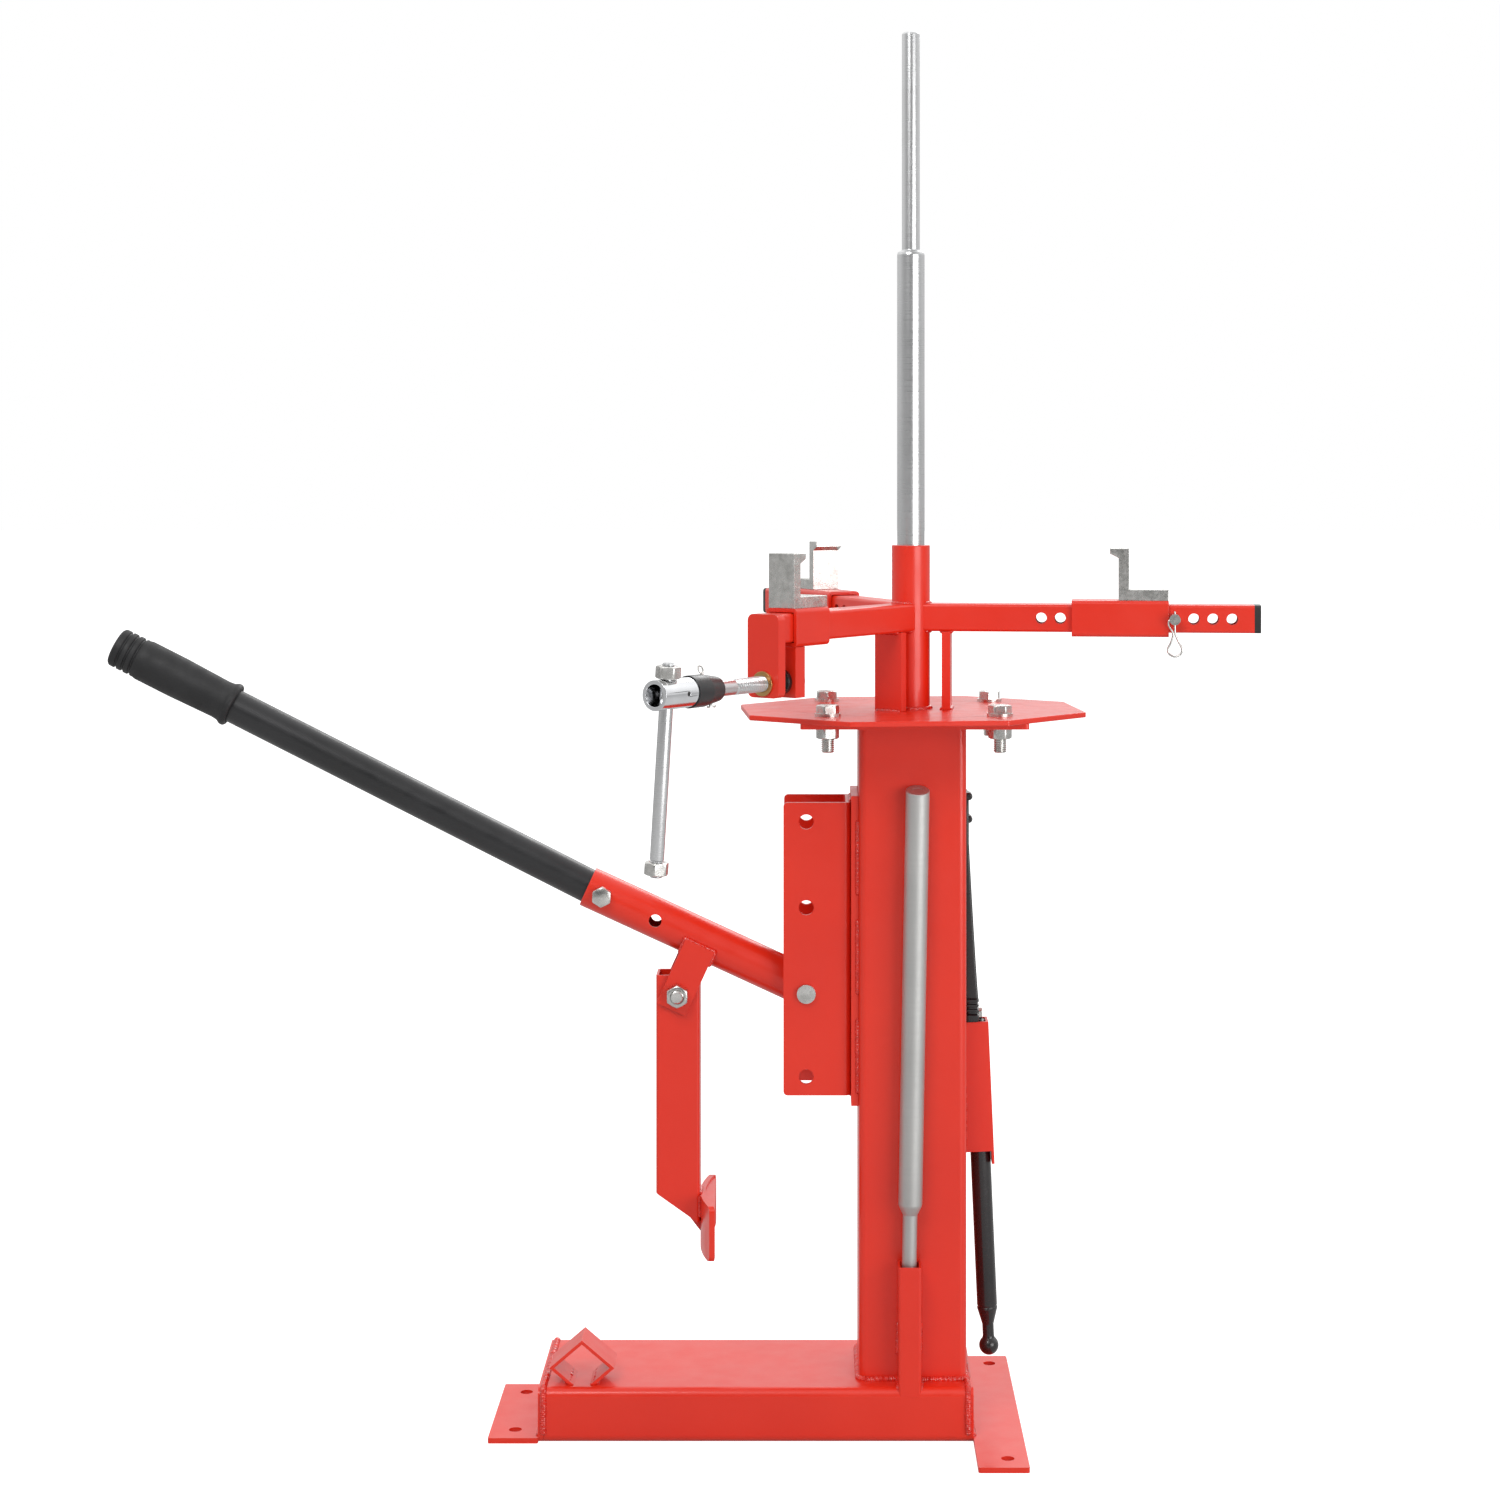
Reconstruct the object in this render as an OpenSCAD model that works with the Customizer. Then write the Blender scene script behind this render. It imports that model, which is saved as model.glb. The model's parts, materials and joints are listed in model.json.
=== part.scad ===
// Stand-mounted bead breaker with a rim clamp table, a centre post and its stored bars.
// Millimetres. The origin is on the floor under the middle of the column.
// +X runs right along the base, +Y runs away from the front, +Z is up.

/* [Base] */
// Length of the base tube left of the column's middle line
base_left = 340; // [280:5:380]
// Width of the base tube, front to back
base_w = 150; // [120:5:180]
// Height of the base tube
base_h = 50; // [40:1:60]
// Thickness of the foot plates and end caps
plate_t = 5; // [3:0.5:8]
// How far each foot plate reaches sideways
foot_reach = 46; // [35:1:60]

/* [Column] */
// Side of the square column
column_w = 100; // [90:1:110]
// Height of the top of the column above the floor
column_top = 658; // [600:1:700]
// Wall of the column and of the base tube
wall = 3; // [2:0.5:5]

/* [Pivot bracket] */
// Distance of the row of pin holes from the column's middle line
pivot_x = 98.7; // [90:0.1:105]
// Height of the pin that carries the arm
pivot_z = 405; // [400:1:410]
// Step between the upper pin holes
pivot_pitch = 80; // [75:1:82]
// Step from the arm's pin down to the lowest hole
pivot_low_step = 77.5; // [75:0.5:82]
// Gap between the bracket's side plates
bracket_gap = 58; // [58:1:62]

/* [Arm] */
// Rise of the arm above level
arm_angle = 24.7; // [0:0.1:45]
// Length of the arm's sleeve from the pin
sleeve_len = 227; // [220:1:260]
// Extra rise of the loose handle tube in the sleeve
handle_kink = 2.3; // [0:0.1:2.4]
// Length from the handle bolt to the end of the grip
handle_len = 516; // [400:1:650]
// Length of the grip
grip_len = 125; // [100:1:150]

/* [Leg] */
// Distance of the leg's bolt along the arm
leg_s = 108; // [100:1:120]
// Distance of the leg's bolt below the arm's axis
leg_drop = 53.5; // [50:0.5:60]
// Height of the bottom of the shoe
shoe_z = 162; // [150:1:175]

/* [Rim clamp] */
// Direction of the right-hand beam in plan; the other two follow at 120 degree steps
beam_turn = -6; // [-10:1:5]
// Side of the beams
beam_w = 26; // [24:0.5:27]
// Height of the middle of the beams
beam_z = 754.5; // [750:0.5:760]
// Step between the holes of a pinned beam
hole_pitch = 17.7; // [17:0.1:18.5]
// Height of the clamp screw
screw_z = 706.5; // [704:0.5:710]
// Lean of the sliding tommy bar about the screw
bar_lean = 4.4; // [0:0.1:15]

/* [Posts] */
// Height of the top of the centre post
post_top = 1306; // [1200:1:1400]
// Height of the step in the centre post
post_step = 1100; // [1000:1:1150]

/* [Hidden] */
$fn = 48;

// Finishes
red = [0.84, 0.16, 0.12];
black = [0.09, 0.09, 0.10];
rubber = [0.05, 0.05, 0.05];
zinc = [0.76, 0.76, 0.74];
steel = [0.66, 0.67, 0.68];
chrome = [0.86, 0.87, 0.88];
bronze = [0.72, 0.52, 0.26];

// Base and column
half_col = column_w / 2;
base_corner = 8;
column_corner = 7;
cap_right = half_col + plate_t;
cap_left = base_left + plate_t;
foot_hole_r = 6;
left_hole_x = -368;
left_hole_y = 52;
right_hole_x = 82.7;
right_hole_y = 132;
right_foot_len = 310;
right_foot_mid = 5;
rest_half = [30, 25.5];
rest_x = -305.5;
rest_z = 65.5;
rest_y = -64;
rest_len = 41;
rest_inner = 0.85;

// Rod holder and stored rod
rod_x = -3.5;
rod_y = -half_col - 12.5;
rod_holder_w = 21;
rod_holder_d = 25;
rod_holder_top = 161;
rod_lean = 1.03;
rod_foot_x = -4.4;

// Tool holder and mount bar
tool_lean = 2.5;
tool_x = 60.1;
tool_z = 374;
tool_r = 9.5;

// Pivot bracket
bracket_t = 5;
backing_t = 7;
backing_x = half_col + backing_t;
bracket_reach = 120;
bracket_bottom = 310;
bracket_height = 273;
bracket_half = bracket_gap / 2 + bracket_t;
pin_rises = [-pivot_low_step, 0, pivot_pitch, 2 * pivot_pitch];
pin_hole_r = 7;
pin_r = 6.95;

// Arm and leg
sleeve_r = 19;
sleeve_bore = 17;
bush_r = 18;
handle_bolt_s = 211;
free_hole_s = 156;
handle_r = 16;
handle_insert = 22;
grip_r = 19.5;
leg_w = 41;
leg_d = 35;
leg_wall = 2.5;
leg_top_rise = 17.5;
clevis_gap = 36;
clevis_t = 5;
clevis_w = 30;
m12_r = 5.95;
m12_flats = 19;
m12_nut = 10.8;
m10_r = 4.95;
m10_flats = 17;
leg_x = -pivot_x - leg_drop * sin(arm_angle) - leg_s * cos(arm_angle);
leg_z = pivot_z - leg_drop * cos(arm_angle) + leg_s * sin(arm_angle);
leg_right = leg_x + leg_w / 2;
leg_toe_z = 185.5;
leg_heel_rise = 29;
shoe_r = 215;
shoe_t = 5;
shoe_h = 51;
shoe_half = 62;
shoe_skew = 1.3;

// Table
top_plate_w = 208;
table_z = column_top + plate_t;
table_top = table_z + plate_t;
table_turn = 5.5;
table_half = [157, 130];
table_flat = [72, 55];
bolt_at = [79, 77];

// Rim clamp: beams run outward along +X of their frames
socket_r = 18;
socket_bore = 13.05;
socket_top = 822;
beam_len = 320.5;
beam_wall = 2.5;
first_hole = 300;
hole_r = 5.2;
hole_count = 11;
index_hole = 3;
index_x = first_hole - index_hole * hole_pitch;
index_r = 5.1;
slide_gap = 0.4;
slider_w = 34;
jaw_radius = 195;
jaw_base_z = beam_z + slider_w / 2;
jaw_base_h = 10;
jaw_top = 820;
pinned_sleeve_len = 90;
pinned_sleeve_out = index_x - index_r - 0.4;
screw_beam_len = 222;
bracket_plate_t = 10;
carriage_out = 205;
carriage_len = 50;
lug_out = 204;
lug_t = 14;
ring_t = 5;
screw_in = 180;
screw_r = 7;
screw_bore = 7.05;
screw_nut_r = 11;
hub_out = 382.5;
hub_in = 338;
hub_r = 13;
hub_bore = 9.5;
spigot_len = 18;
roll_pin_at = hub_in + 14;
collar_in = 299.5;
split_pin_at = collar_in + 12;
split_pin_turn = -165;
bar_at = 366;
bar_r = 6;
bar_top = 26.7;
bar_bottom = -155;
riser_at = 30;
riser_t = 8;
riser_half = 15;

// A rectangle with round corners, centred
module round_rect(w, h, r) {
  square([w - 2 * r, h], center = true);
  square([w, h - 2 * r], center = true);
  for (sx = [-1, 1], sy = [-1, 1])
    translate([sx * (w / 2 - r), sy * (h / 2 - r)]) circle(r);
}

// A square pressed a little flat, standing on one corner, centred
module rhombus(half_w, half_h) {
  polygon([[-half_w, 0], [0, -half_h], [half_w, 0], [0, half_h]]);
}

// The section of a rectangular tube, centred
module tube_section(w, h, r, t) {
  difference() {
    round_rect(w, h, r);
    round_rect(w - 2 * t, h - 2 * t, max(r - t, 0.6));
  }
}

// Extrudes a section drawn in Y and Z along +X
module along_x(len) {
  rotate([90, 0, 90]) linear_extrude(len) children();
}

// Extrudes a section drawn in X and Z along Y, centred
module across_y(len) {
  rotate([90, 0, 0]) linear_extrude(len, center = true) children();
}

// A cylinder along Y, centred
module y_rod(r, len) {
  rotate([90, 0, 0]) cylinder(r = r, h = len, center = true);
}

// A cylinder along X from x0 to x1
module x_rod(r, x0, x1) {
  translate([x0, 0, 0]) rotate([0, 90, 0]) cylinder(r = r, h = x1 - x0);
}

// A hexagonal prism along +Z with the given width across flats
module hex(flats, h) {
  cylinder(r = flats / sqrt(3), h = h, $fn = 6);
}

// A hexagonal nut along +Z
module nut(flats, h, bore) {
  difference() {
    hex(flats, h);
    translate([0, 0, -1]) cylinder(r = bore, h = h + 2);
  }
}

// A spring clip of wire: a straight leg down -Z that ends in a ring
module ring_clip(leg, ring, wire) {
  translate([0, 0, -leg]) cylinder(r = wire, h = leg + 8);
  translate([0, 0, -leg - ring]) rotate([90, 0, 0])
    rotate_extrude() translate([ring, 0]) circle(wire, $fn = 16);
}

// Frame of the arm: +Z runs from the pivot pin along the sleeve
module on_arm() {
  translate([-pivot_x, 0, pivot_z]) rotate([0, arm_angle - 90, 0]) children();
}

// Frame of the handle: +Z runs from the handle bolt to the grip
module on_handle() {
  on_arm() translate([0, 0, handle_bolt_s]) rotate([0, handle_kink, 0]) children();
}

// Frame of the shoe at height z: origin on the axis it is curved about, turned a little on the leg
module on_shoe(z) {
  translate([leg_right, 0, z]) rotate([0, 0, shoe_skew]) translate([shoe_r, 0, 0]) children();
}

// Frame of a clamp beam: +X runs outward. Beam 0 is on the right, 1 behind, 2 has the screw
module on_beam(i) {
  rotate([0, 0, beam_turn + 120 * i]) children();
}

// Frame of the clamp screw: +X outward along the screw, origin on its axis
module on_screw() {
  on_beam(2) translate([0, 0, screw_z]) children();
}

// Frame of the tommy bar: +Z along the bar, origin on the screw's axis
module on_tommy() {
  on_screw() translate([bar_at, 0, 0]) rotate([-bar_lean, 0, 0]) children();
}

// Frame of the stored mount bar: +Z up the bar from the holder's top
module on_tool() {
  translate([tool_x, 0, tool_z]) rotate([0, -tool_lean, 0]) children();
}

// Base -----------------------------------------------------------------
module base_tube() {
  color(red) translate([-base_left, 0, base_h / 2]) along_x(base_left + half_col)
    tube_section(base_w, base_h, base_corner, wall);
}

module base_cap(x) {
  color(red) translate([x, 0, base_h / 2]) along_x(plate_t) round_rect(base_w, base_h, base_corner);
}

module base_end_cap_left() {
  base_cap(-cap_left);
}

module base_end_cap_right() {
  base_cap(half_col);
}

module foot_plate_left() {
  color(red) difference() {
    translate([-cap_left - foot_reach / 2, 0, 0])
      linear_extrude(plate_t) round_rect(foot_reach, base_w, 1.5);
    for (y = [-left_hole_y, left_hole_y])
      translate([left_hole_x, y, -1]) cylinder(r = foot_hole_r, h = plate_t + 2);
  }
}

module foot_plate_right() {
  color(red) difference() {
    translate([cap_right + foot_reach / 2, right_foot_mid, 0])
      linear_extrude(plate_t) round_rect(foot_reach, right_foot_len, 2.5);
    for (y = [-right_hole_y, right_hole_y])
      translate([right_hole_x, right_foot_mid + y, -1]) cylinder(r = foot_hole_r, h = plate_t + 2);
  }
}

// A square tube laid on its corner, with the corner cut off flat on the base
module rim_rest() {
  color(red) difference() {
    translate([rest_x, rest_y + rest_len / 2, rest_z]) across_y(rest_len)
      difference() {
        rhombus(rest_half[0], rest_half[1]);
        rhombus(rest_half[0] * rest_inner, rest_half[1] * rest_inner);
      }
    translate([rest_x - 50, rest_y - 10, base_h - 40]) cube([100, rest_len + 20, 40]);
  }
}

// Column ---------------------------------------------------------------
module column() {
  color(red) translate([0, 0, base_h]) linear_extrude(column_top - base_h)
    tube_section(column_w, column_w, column_corner, wall);
}

module bolt_places() {
  for (sx = [-1, 1], sy = [-1, 1])
    translate([sx * bolt_at[0], sy * bolt_at[1], 0]) children();
}

module column_top_plate() {
  color(red) translate([0, 0, column_top]) difference() {
    linear_extrude(plate_t) round_rect(top_plate_w, top_plate_w, 3);
    bolt_places() translate([0, 0, -1]) cylinder(r = 6.5, h = plate_t + 2);
  }
}

// A square tube up the front of the column, coped over the base's edge
module rod_holder() {
  color(red) difference() {
    translate([rod_x, rod_y, base_h - base_corner])
      linear_extrude(rod_holder_top - base_h + base_corner)
        tube_section(rod_holder_w, rod_holder_d, 2.5, 2);
    translate([-60, 0, base_h / 2]) along_x(120) round_rect(base_w, base_h, base_corner);
  }
}

// A channel welded by its edges to the column's side, open to the column
module tool_holder() {
  inner = tool_r + 0.4;
  depth = 122;
  lip = 12;
  side = 2.5;
  color(red) difference() {
    on_tool() {
      translate([inner, -inner - side, -depth - lip]) cube([side, 2 * (inner + side), depth + lip]);
      for (y = [-inner - side, inner])
        translate([-30, y, -depth]) cube([30 + inner, side, depth]);
    }
    translate([-half_col, -half_col, 200]) cube([column_w, column_w, 300]);
  }
}

// Pivot bracket --------------------------------------------------------
module pivot_backing_plate() {
  color(red) translate([-backing_x, -42, bracket_bottom - 8]) cube([backing_t, 84, bracket_height + 15]);
}

module pivot_bracket() {
  channel_w = 83;
  inner_x = backing_x + bracket_t;
  mid_z = bracket_bottom + bracket_height / 2;
  color(red) difference() {
    intersection() {
      translate([0, 0, bracket_bottom]) linear_extrude(bracket_height) difference() {
        translate([-backing_x - channel_w / 2, 0]) round_rect(channel_w, 2 * bracket_half, 6);
        translate([-inner_x - channel_w / 2, 0]) round_rect(channel_w, bracket_gap, 1.5);
      }
      translate([-bracket_reach + channel_w / 2, 0, mid_z])
        across_y(2 * bracket_half + 2) round_rect(channel_w, bracket_height, 4);
    }
    for (rise = pin_rises)
      translate([-pivot_x, 0, pivot_z + rise]) y_rod(pin_hole_r, 2 * bracket_half + 10);
  }
}

module pivot_pin() {
  head_t = 4;
  tail = 12;
  color(zinc) translate([-pivot_x, 0, pivot_z]) difference() {
    union() {
      translate([0, tail / 2, 0]) y_rod(pin_r, 2 * bracket_half + tail);
      translate([0, -bracket_half - head_t / 2, 0]) y_rod(8.75, head_t);
    }
    translate([0, bracket_half + 5.5, -20]) cylinder(r = 1.5, h = 40);
  }
}

module pivot_pin_clip() {
  color(zinc) translate([-pivot_x, bracket_half + 5.5, pivot_z]) ring_clip(11, 7, 1.2);
}

// Table ----------------------------------------------------------------
module table_plate() {
  x = table_half[0];
  y = table_half[1];
  fx = table_flat[0];
  fy = table_flat[1];
  color(red) translate([0, 0, table_z]) difference() {
    rotate(table_turn) linear_extrude(plate_t)
      polygon([[-x, -fy], [-fx, -y], [fx, -y], [x, -fy], [x, fy], [fx, y], [-fx, y], [-x, fy]]);
    bolt_places() translate([0, 0, -1]) cylinder(r = 6.5, h = plate_t + 2);
  }
}

module table_bolts() {
  head = 7.5;
  shank = 36;
  color(zinc) translate([0, 0, table_top + 2.5]) bolt_places() {
    hex(m12_flats, head);
    translate([0, 0, -shank]) cylinder(r = m12_r, h = shank);
  }
}

module table_washers() {
  color(zinc) translate([0, 0, table_top]) bolt_places() difference() {
    cylinder(r = 12, h = 2.5);
    translate([0, 0, -1]) cylinder(r = 6.5, h = 5);
  }
}

module table_nuts() {
  color(zinc) translate([0, 0, column_top - m12_nut]) bolt_places() nut(m12_flats, m12_nut, 6);
}

// Rim clamp, fixed pieces ----------------------------------------------
module post_socket() {
  color(red) translate([0, 0, table_top]) difference() {
    cylinder(r = socket_r, h = socket_top - table_top);
    translate([0, 0, -1]) cylinder(r = socket_bore, h = socket_top - table_top + 2);
  }
}

module beam_risers() {
  height = beam_z - beam_w / 2 - table_top;
  color(red) for (i = [0 : 2])
    on_beam(i) translate([riser_at, -riser_half, table_top])
      cube([riser_t, 2 * riser_half, height]);
}

// A beam from the socket outward, coped to the socket
module beam(i, len) {
  color(red) difference() {
    on_beam(i) translate([socket_r / 2, 0, beam_z]) along_x(len - socket_r / 2)
      tube_section(beam_w, beam_w, 3, beam_wall);
    translate([0, 0, beam_z - beam_w]) cylinder(r = socket_r, h = 2 * beam_w);
    children();
  }
}

// A beam with its row of pin holes
module pinned_beam(i) {
  beam(i, beam_len) on_beam(i) for (k = [0 : hole_count - 1])
    translate([first_hole - k * hole_pitch, 0, beam_z]) y_rod(hole_r, beam_w + 10);
}

module right_beam() {
  pinned_beam(0);
}

module rear_beam() {
  pinned_beam(1);
}

module screw_beam() {
  beam(2, screw_beam_len);
}

module beam_plugs() {
  inner = beam_w - 2 * beam_wall - 0.4;
  color(black) for (i = [0, 1]) on_beam(i) translate([beam_len, 0, beam_z]) {
    along_x(6) round_rect(beam_w, beam_w, 3);
    translate([-5, 0, 0]) along_x(5) round_rect(inner, inner, 1);
  }
}

module screw_bracket() {
  bottom = screw_z - 12.5;
  height = beam_z + beam_w / 2 - bottom;
  color(red) on_beam(2) translate([screw_beam_len, 0, 0]) difference() {
    translate([0, 0, bottom + height / 2]) along_x(bracket_plate_t) round_rect(34, height, 6);
    translate([0, 0, screw_z]) x_rod(screw_nut_r, -1, bracket_plate_t + 1);
  }
}

module screw_nut() {
  out = screw_beam_len + bracket_plate_t + 2;
  color(bronze) on_screw() difference() {
    union() {
      x_rod(screw_nut_r, screw_beam_len - 3, out);
      x_rod(12.4, screw_beam_len - 3, screw_beam_len);
    }
    x_rod(screw_bore, screw_beam_len - 4, out + 1);
  }
}

module index_pins() {
  half = beam_w / 2;
  color(zinc) for (i = [0, 1]) on_beam(i) translate([index_x, 0, beam_z]) difference() {
    union() {
      translate([0, -4.5, 0]) y_rod(index_r, 2 * half + 17);
      translate([0, half + 6, 0]) y_rod(8, 4);
    }
    translate([0, -half - 8, -20]) cylinder(r = 1.4, h = 40);
  }
}

module index_pin_clips() {
  color(zinc) for (i = [0, 1])
    on_beam(i) translate([index_x, -beam_w / 2 - 8, beam_z]) ring_clip(22, 6.5, 1);
}

// Arm ------------------------------------------------------------------
module arm_sleeve() {
  color(red) on_arm() difference() {
    translate([0, 0, 8]) cylinder(r = sleeve_r, h = sleeve_len - 8);
    cylinder(r = sleeve_bore, h = sleeve_len + 1);
    y_rod(bush_r, 60);
    translate([0, 0, handle_bolt_s]) y_rod(5.1, 60);
    translate([0, 0, free_hole_s]) y_rod(6, 60);
  }
}

module pivot_bush() {
  color(red) on_arm() difference() {
    y_rod(bush_r, bracket_gap - 0.6);
    y_rod(pin_hole_r, bracket_gap + 2);
  }
}

module clevis_plates() {
  end = leg_drop + 15;
  color(red) on_arm() difference() {
    for (y = [-clevis_gap / 2 - clevis_t, clevis_gap / 2])
      translate([-end, y, leg_s - clevis_w / 2]) cube([end - 3, clevis_t, clevis_w]);
    cylinder(r = sleeve_r, h = sleeve_len);
    translate([-leg_drop, 0, leg_s]) y_rod(6, 60);
  }
}

module handle_tube() {
  color(black) on_handle() difference() {
    translate([0, 0, -handle_insert]) cylinder(r = handle_r, h = handle_len + handle_insert - 6);
    translate([0, 0, -handle_insert - 1]) cylinder(r = handle_r - 2.5, h = handle_len + handle_insert + 2);
    y_rod(5.1, 60);
  }
}

// A moulded grip: a flange at the inner end and three grooves at the outer end
module handle_grip() {
  start = handle_len - grip_len;
  color(rubber) on_handle() difference() {
    union() {
      translate([0, 0, start]) cylinder(r = grip_r + 1.5, h = 7);
      translate([0, 0, start + 7]) cylinder(r1 = grip_r - 1, r2 = grip_r, h = 30);
      translate([0, 0, start + 37]) cylinder(r = grip_r, h = grip_len - 65);
      translate([0, 0, handle_len - 28]) cylinder(r = grip_r - 0.8, h = 28);
    }
    translate([0, 0, start - 1]) cylinder(r = handle_r, h = grip_len - 5);
    for (i = [0 : 2])
      translate([0, 0, handle_len - 24 + 7 * i]) difference() {
        cylinder(r = grip_r + 2, h = 2.4);
        translate([0, 0, -1]) cylinder(r = grip_r - 2, h = 5);
      }
  }
}

module handle_bolt() {
  head = 6.4;
  color(zinc) on_arm() translate([0, 0, handle_bolt_s]) {
    translate([0, -sleeve_r, 0]) rotate([90, 0, 0]) hex(m10_flats, head);
    translate([0, 5.5, 0]) y_rod(m10_r, 2 * sleeve_r + 11);
  }
}

module handle_nut() {
  color(zinc) on_arm() translate([0, sleeve_r, handle_bolt_s]) rotate([-90, 0, 0])
    nut(m10_flats, 8.4, 5);
}

module leg_bolt() {
  half = clevis_gap / 2 + clevis_t;
  tail = m12_nut + 3;
  color(zinc) translate([leg_x, 0, leg_z]) {
    translate([0, half, 0]) rotate([-90, 0, 0]) hex(m12_flats, 7.5);
    translate([0, -tail / 2, 0]) y_rod(m12_r, 2 * half + tail);
  }
}

module leg_nut() {
  color(zinc) translate([leg_x, -clevis_gap / 2 - clevis_t, leg_z]) rotate([90, 0, 0])
    nut(m12_flats, m12_nut, 6);
}

// Leg ------------------------------------------------------------------
module leg_tube() {
  slope = atan(leg_heel_rise / leg_w);
  low = leg_toe_z - 20;
  color(red) difference() {
    translate([leg_x, 0, low]) linear_extrude(leg_z + leg_top_rise - low)
      tube_section(leg_w, leg_d, 3, leg_wall);
    translate([leg_x, 0, leg_z]) y_rod(6, 60);
    translate([leg_right, -30, leg_toe_z]) rotate([0, slope, 0]) translate([-100, 0, -100])
      cube([150, 60, 100]);
  }
}

module breaker_shoe() {
  color(red) on_shoe(shoe_z) intersection() {
    difference() {
      cylinder(r = shoe_r, h = shoe_h, $fn = 120);
      translate([0, 0, -1]) cylinder(r = shoe_r - shoe_t, h = shoe_h + 2, $fn = 120);
    }
    translate([-shoe_r - 5, 0, shoe_h / 2]) rotate([0, 90, 0])
      linear_extrude(60) round_rect(shoe_h, 2 * shoe_half, 6);
  }
}

module shoe_gusset() {
  inner = leg_right - leg_wall;
  slope = leg_heel_rise / leg_w;
  back = 17;
  color(red) across_y(6) polygon([[inner, leg_toe_z + 18], [inner, leg_toe_z + leg_wall * slope],
    [leg_right, leg_toe_z], [leg_right, leg_toe_z - 10], [leg_right - back, leg_toe_z + back * slope]]);
}

// A half-moon plate across the hollow side of the shoe
module shoe_stiffener() {
  t = 5;
  below_top = 2;
  color(red) on_shoe(shoe_z + shoe_h - below_top - t) difference() {
    cylinder(r = shoe_r - shoe_t, h = t, $fn = 120);
    translate([-shoe_r + 14, -shoe_r, -1]) cube([2 * shoe_r, 2 * shoe_r, t + 2]);
  }
}

// Clamp screw ----------------------------------------------------------
module clamp_screw() {
  color(steel) on_screw() difference() {
    union() {
      x_rod(hub_bore, collar_in, hub_in + spigot_len);
      x_rod(screw_r, screw_in, collar_in + 1);
    }
    translate([roll_pin_at, 0, 0]) y_rod(2, 30);
    translate([split_pin_at, 0, 0]) rotate([split_pin_turn, 0, 0])
      cylinder(r = 1.6, h = 40, center = true);
  }
}

module screw_hub() {
  color(chrome) difference() {
    on_screw() x_rod(hub_r, hub_in, hub_out);
    on_screw() x_rod(hub_bore, hub_in - 1, hub_out + 1);
    on_tommy() cylinder(r = bar_r + 0.08, h = 60, center = true);
    on_screw() translate([roll_pin_at, 0, 0]) y_rod(2, 40);
  }
}

module thrust_collar() {
  wide = 14;
  taper_from = hub_in - 18;
  color(black) on_screw() difference() {
    union() {
      x_rod(wide, taper_from, hub_in - 0.2);
      translate([collar_in, 0, 0]) rotate([0, 90, 0])
        cylinder(r1 = 10.8, r2 = wide, h = taper_from - collar_in);
    }
    x_rod(hub_bore, collar_in - 1, hub_in + 1);
    translate([split_pin_at, 0, 0]) rotate([split_pin_turn, 0, 0])
      cylinder(r = 1.6, h = 40, center = true);
  }
}

module collar_split_pin() {
  color(zinc) on_screw() translate([split_pin_at, 0, 0]) rotate([split_pin_turn, 0, 0]) {
    translate([0, 0, -17]) cylinder(r = 1.5, h = 35);
    translate([0, 0, -18.5]) rotate([0, 90, 0])
      rotate_extrude() translate([2.6, 0]) circle(1.1, $fn = 16);
  }
}

module hub_roll_pin() {
  color(black) on_screw() translate([roll_pin_at, 0, 0]) y_rod(1.98, 2 * hub_r - 1);
}

// One ring pushes the carriage's lug inward and the other pulls it back
module retaining_rings() {
  color(black) on_screw() for (x = [lug_out + 0.3, lug_out - lug_t - ring_t - 0.3])
    difference() {
      x_rod(11.5, x, x + ring_t);
      x_rod(screw_r, x - 1, x + ring_t + 1);
    }
}

module tommy_bar() {
  color(steel) on_tommy() translate([0, 0, bar_bottom])
    cylinder(r = bar_r, h = bar_top - bar_bottom);
}

module tommy_nuts() {
  color(zinc) on_tommy() {
    translate([0, 0, hub_r + 0.3]) nut(m12_flats, m12_nut, bar_r);
    translate([0, 0, bar_bottom + 2.2]) nut(m12_flats, m12_nut, bar_r);
  }
}

// Jaws -----------------------------------------------------------------
// A sleeve round a beam, from its outer end inward
module slider(out, len) {
  translate([out - len, 0, beam_z]) along_x(len)
    tube_section(slider_w, slider_w, 4, (slider_w - beam_w) / 2 - slide_gap);
}

// An upright with a lip hooked inward, on a base strip that reaches outward
module jaw_plate(reach) {
  t = 10;
  lip = 8;
  rise = jaw_top - jaw_base_z;
  translate([jaw_radius, 0, jaw_base_z]) across_y(28)
    polygon([[0, 0], [reach, 0], [reach, jaw_base_h], [t, jaw_base_h], [t, rise],
      [-lip, rise], [-lip, rise - 5], [0, rise - 9]]);
}

module jaw_carriage() {
  bottom = screw_z - 14;
  color(red) on_beam(2) {
    slider(carriage_out, carriage_len);
    difference() {
      translate([lug_out - lug_t, -15, bottom])
        cube([lug_t, 30, beam_z - slider_w / 2 - bottom]);
      translate([0, 0, screw_z]) x_rod(screw_bore, lug_out - lug_t - 1, lug_out + 1);
    }
  }
}

module screw_jaw() {
  inner = carriage_out - carriage_len;
  color(zinc) on_beam(2) {
    jaw_plate(carriage_out - jaw_radius);
    translate([inner, -14, jaw_base_z]) cube([jaw_radius - inner, 28, jaw_base_h]);
  }
}

module pinned_sleeve(i) {
  color(red) on_beam(i) slider(pinned_sleeve_out, pinned_sleeve_len);
}

module pinned_jaw(i) {
  color(zinc) on_beam(i) jaw_plate(pinned_sleeve_out - jaw_radius);
}

module right_jaw_sleeve() {
  pinned_sleeve(0);
}

module right_jaw() {
  pinned_jaw(0);
}

module rear_jaw_sleeve() {
  pinned_sleeve(1);
}

module rear_jaw() {
  pinned_jaw(1);
}

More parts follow.
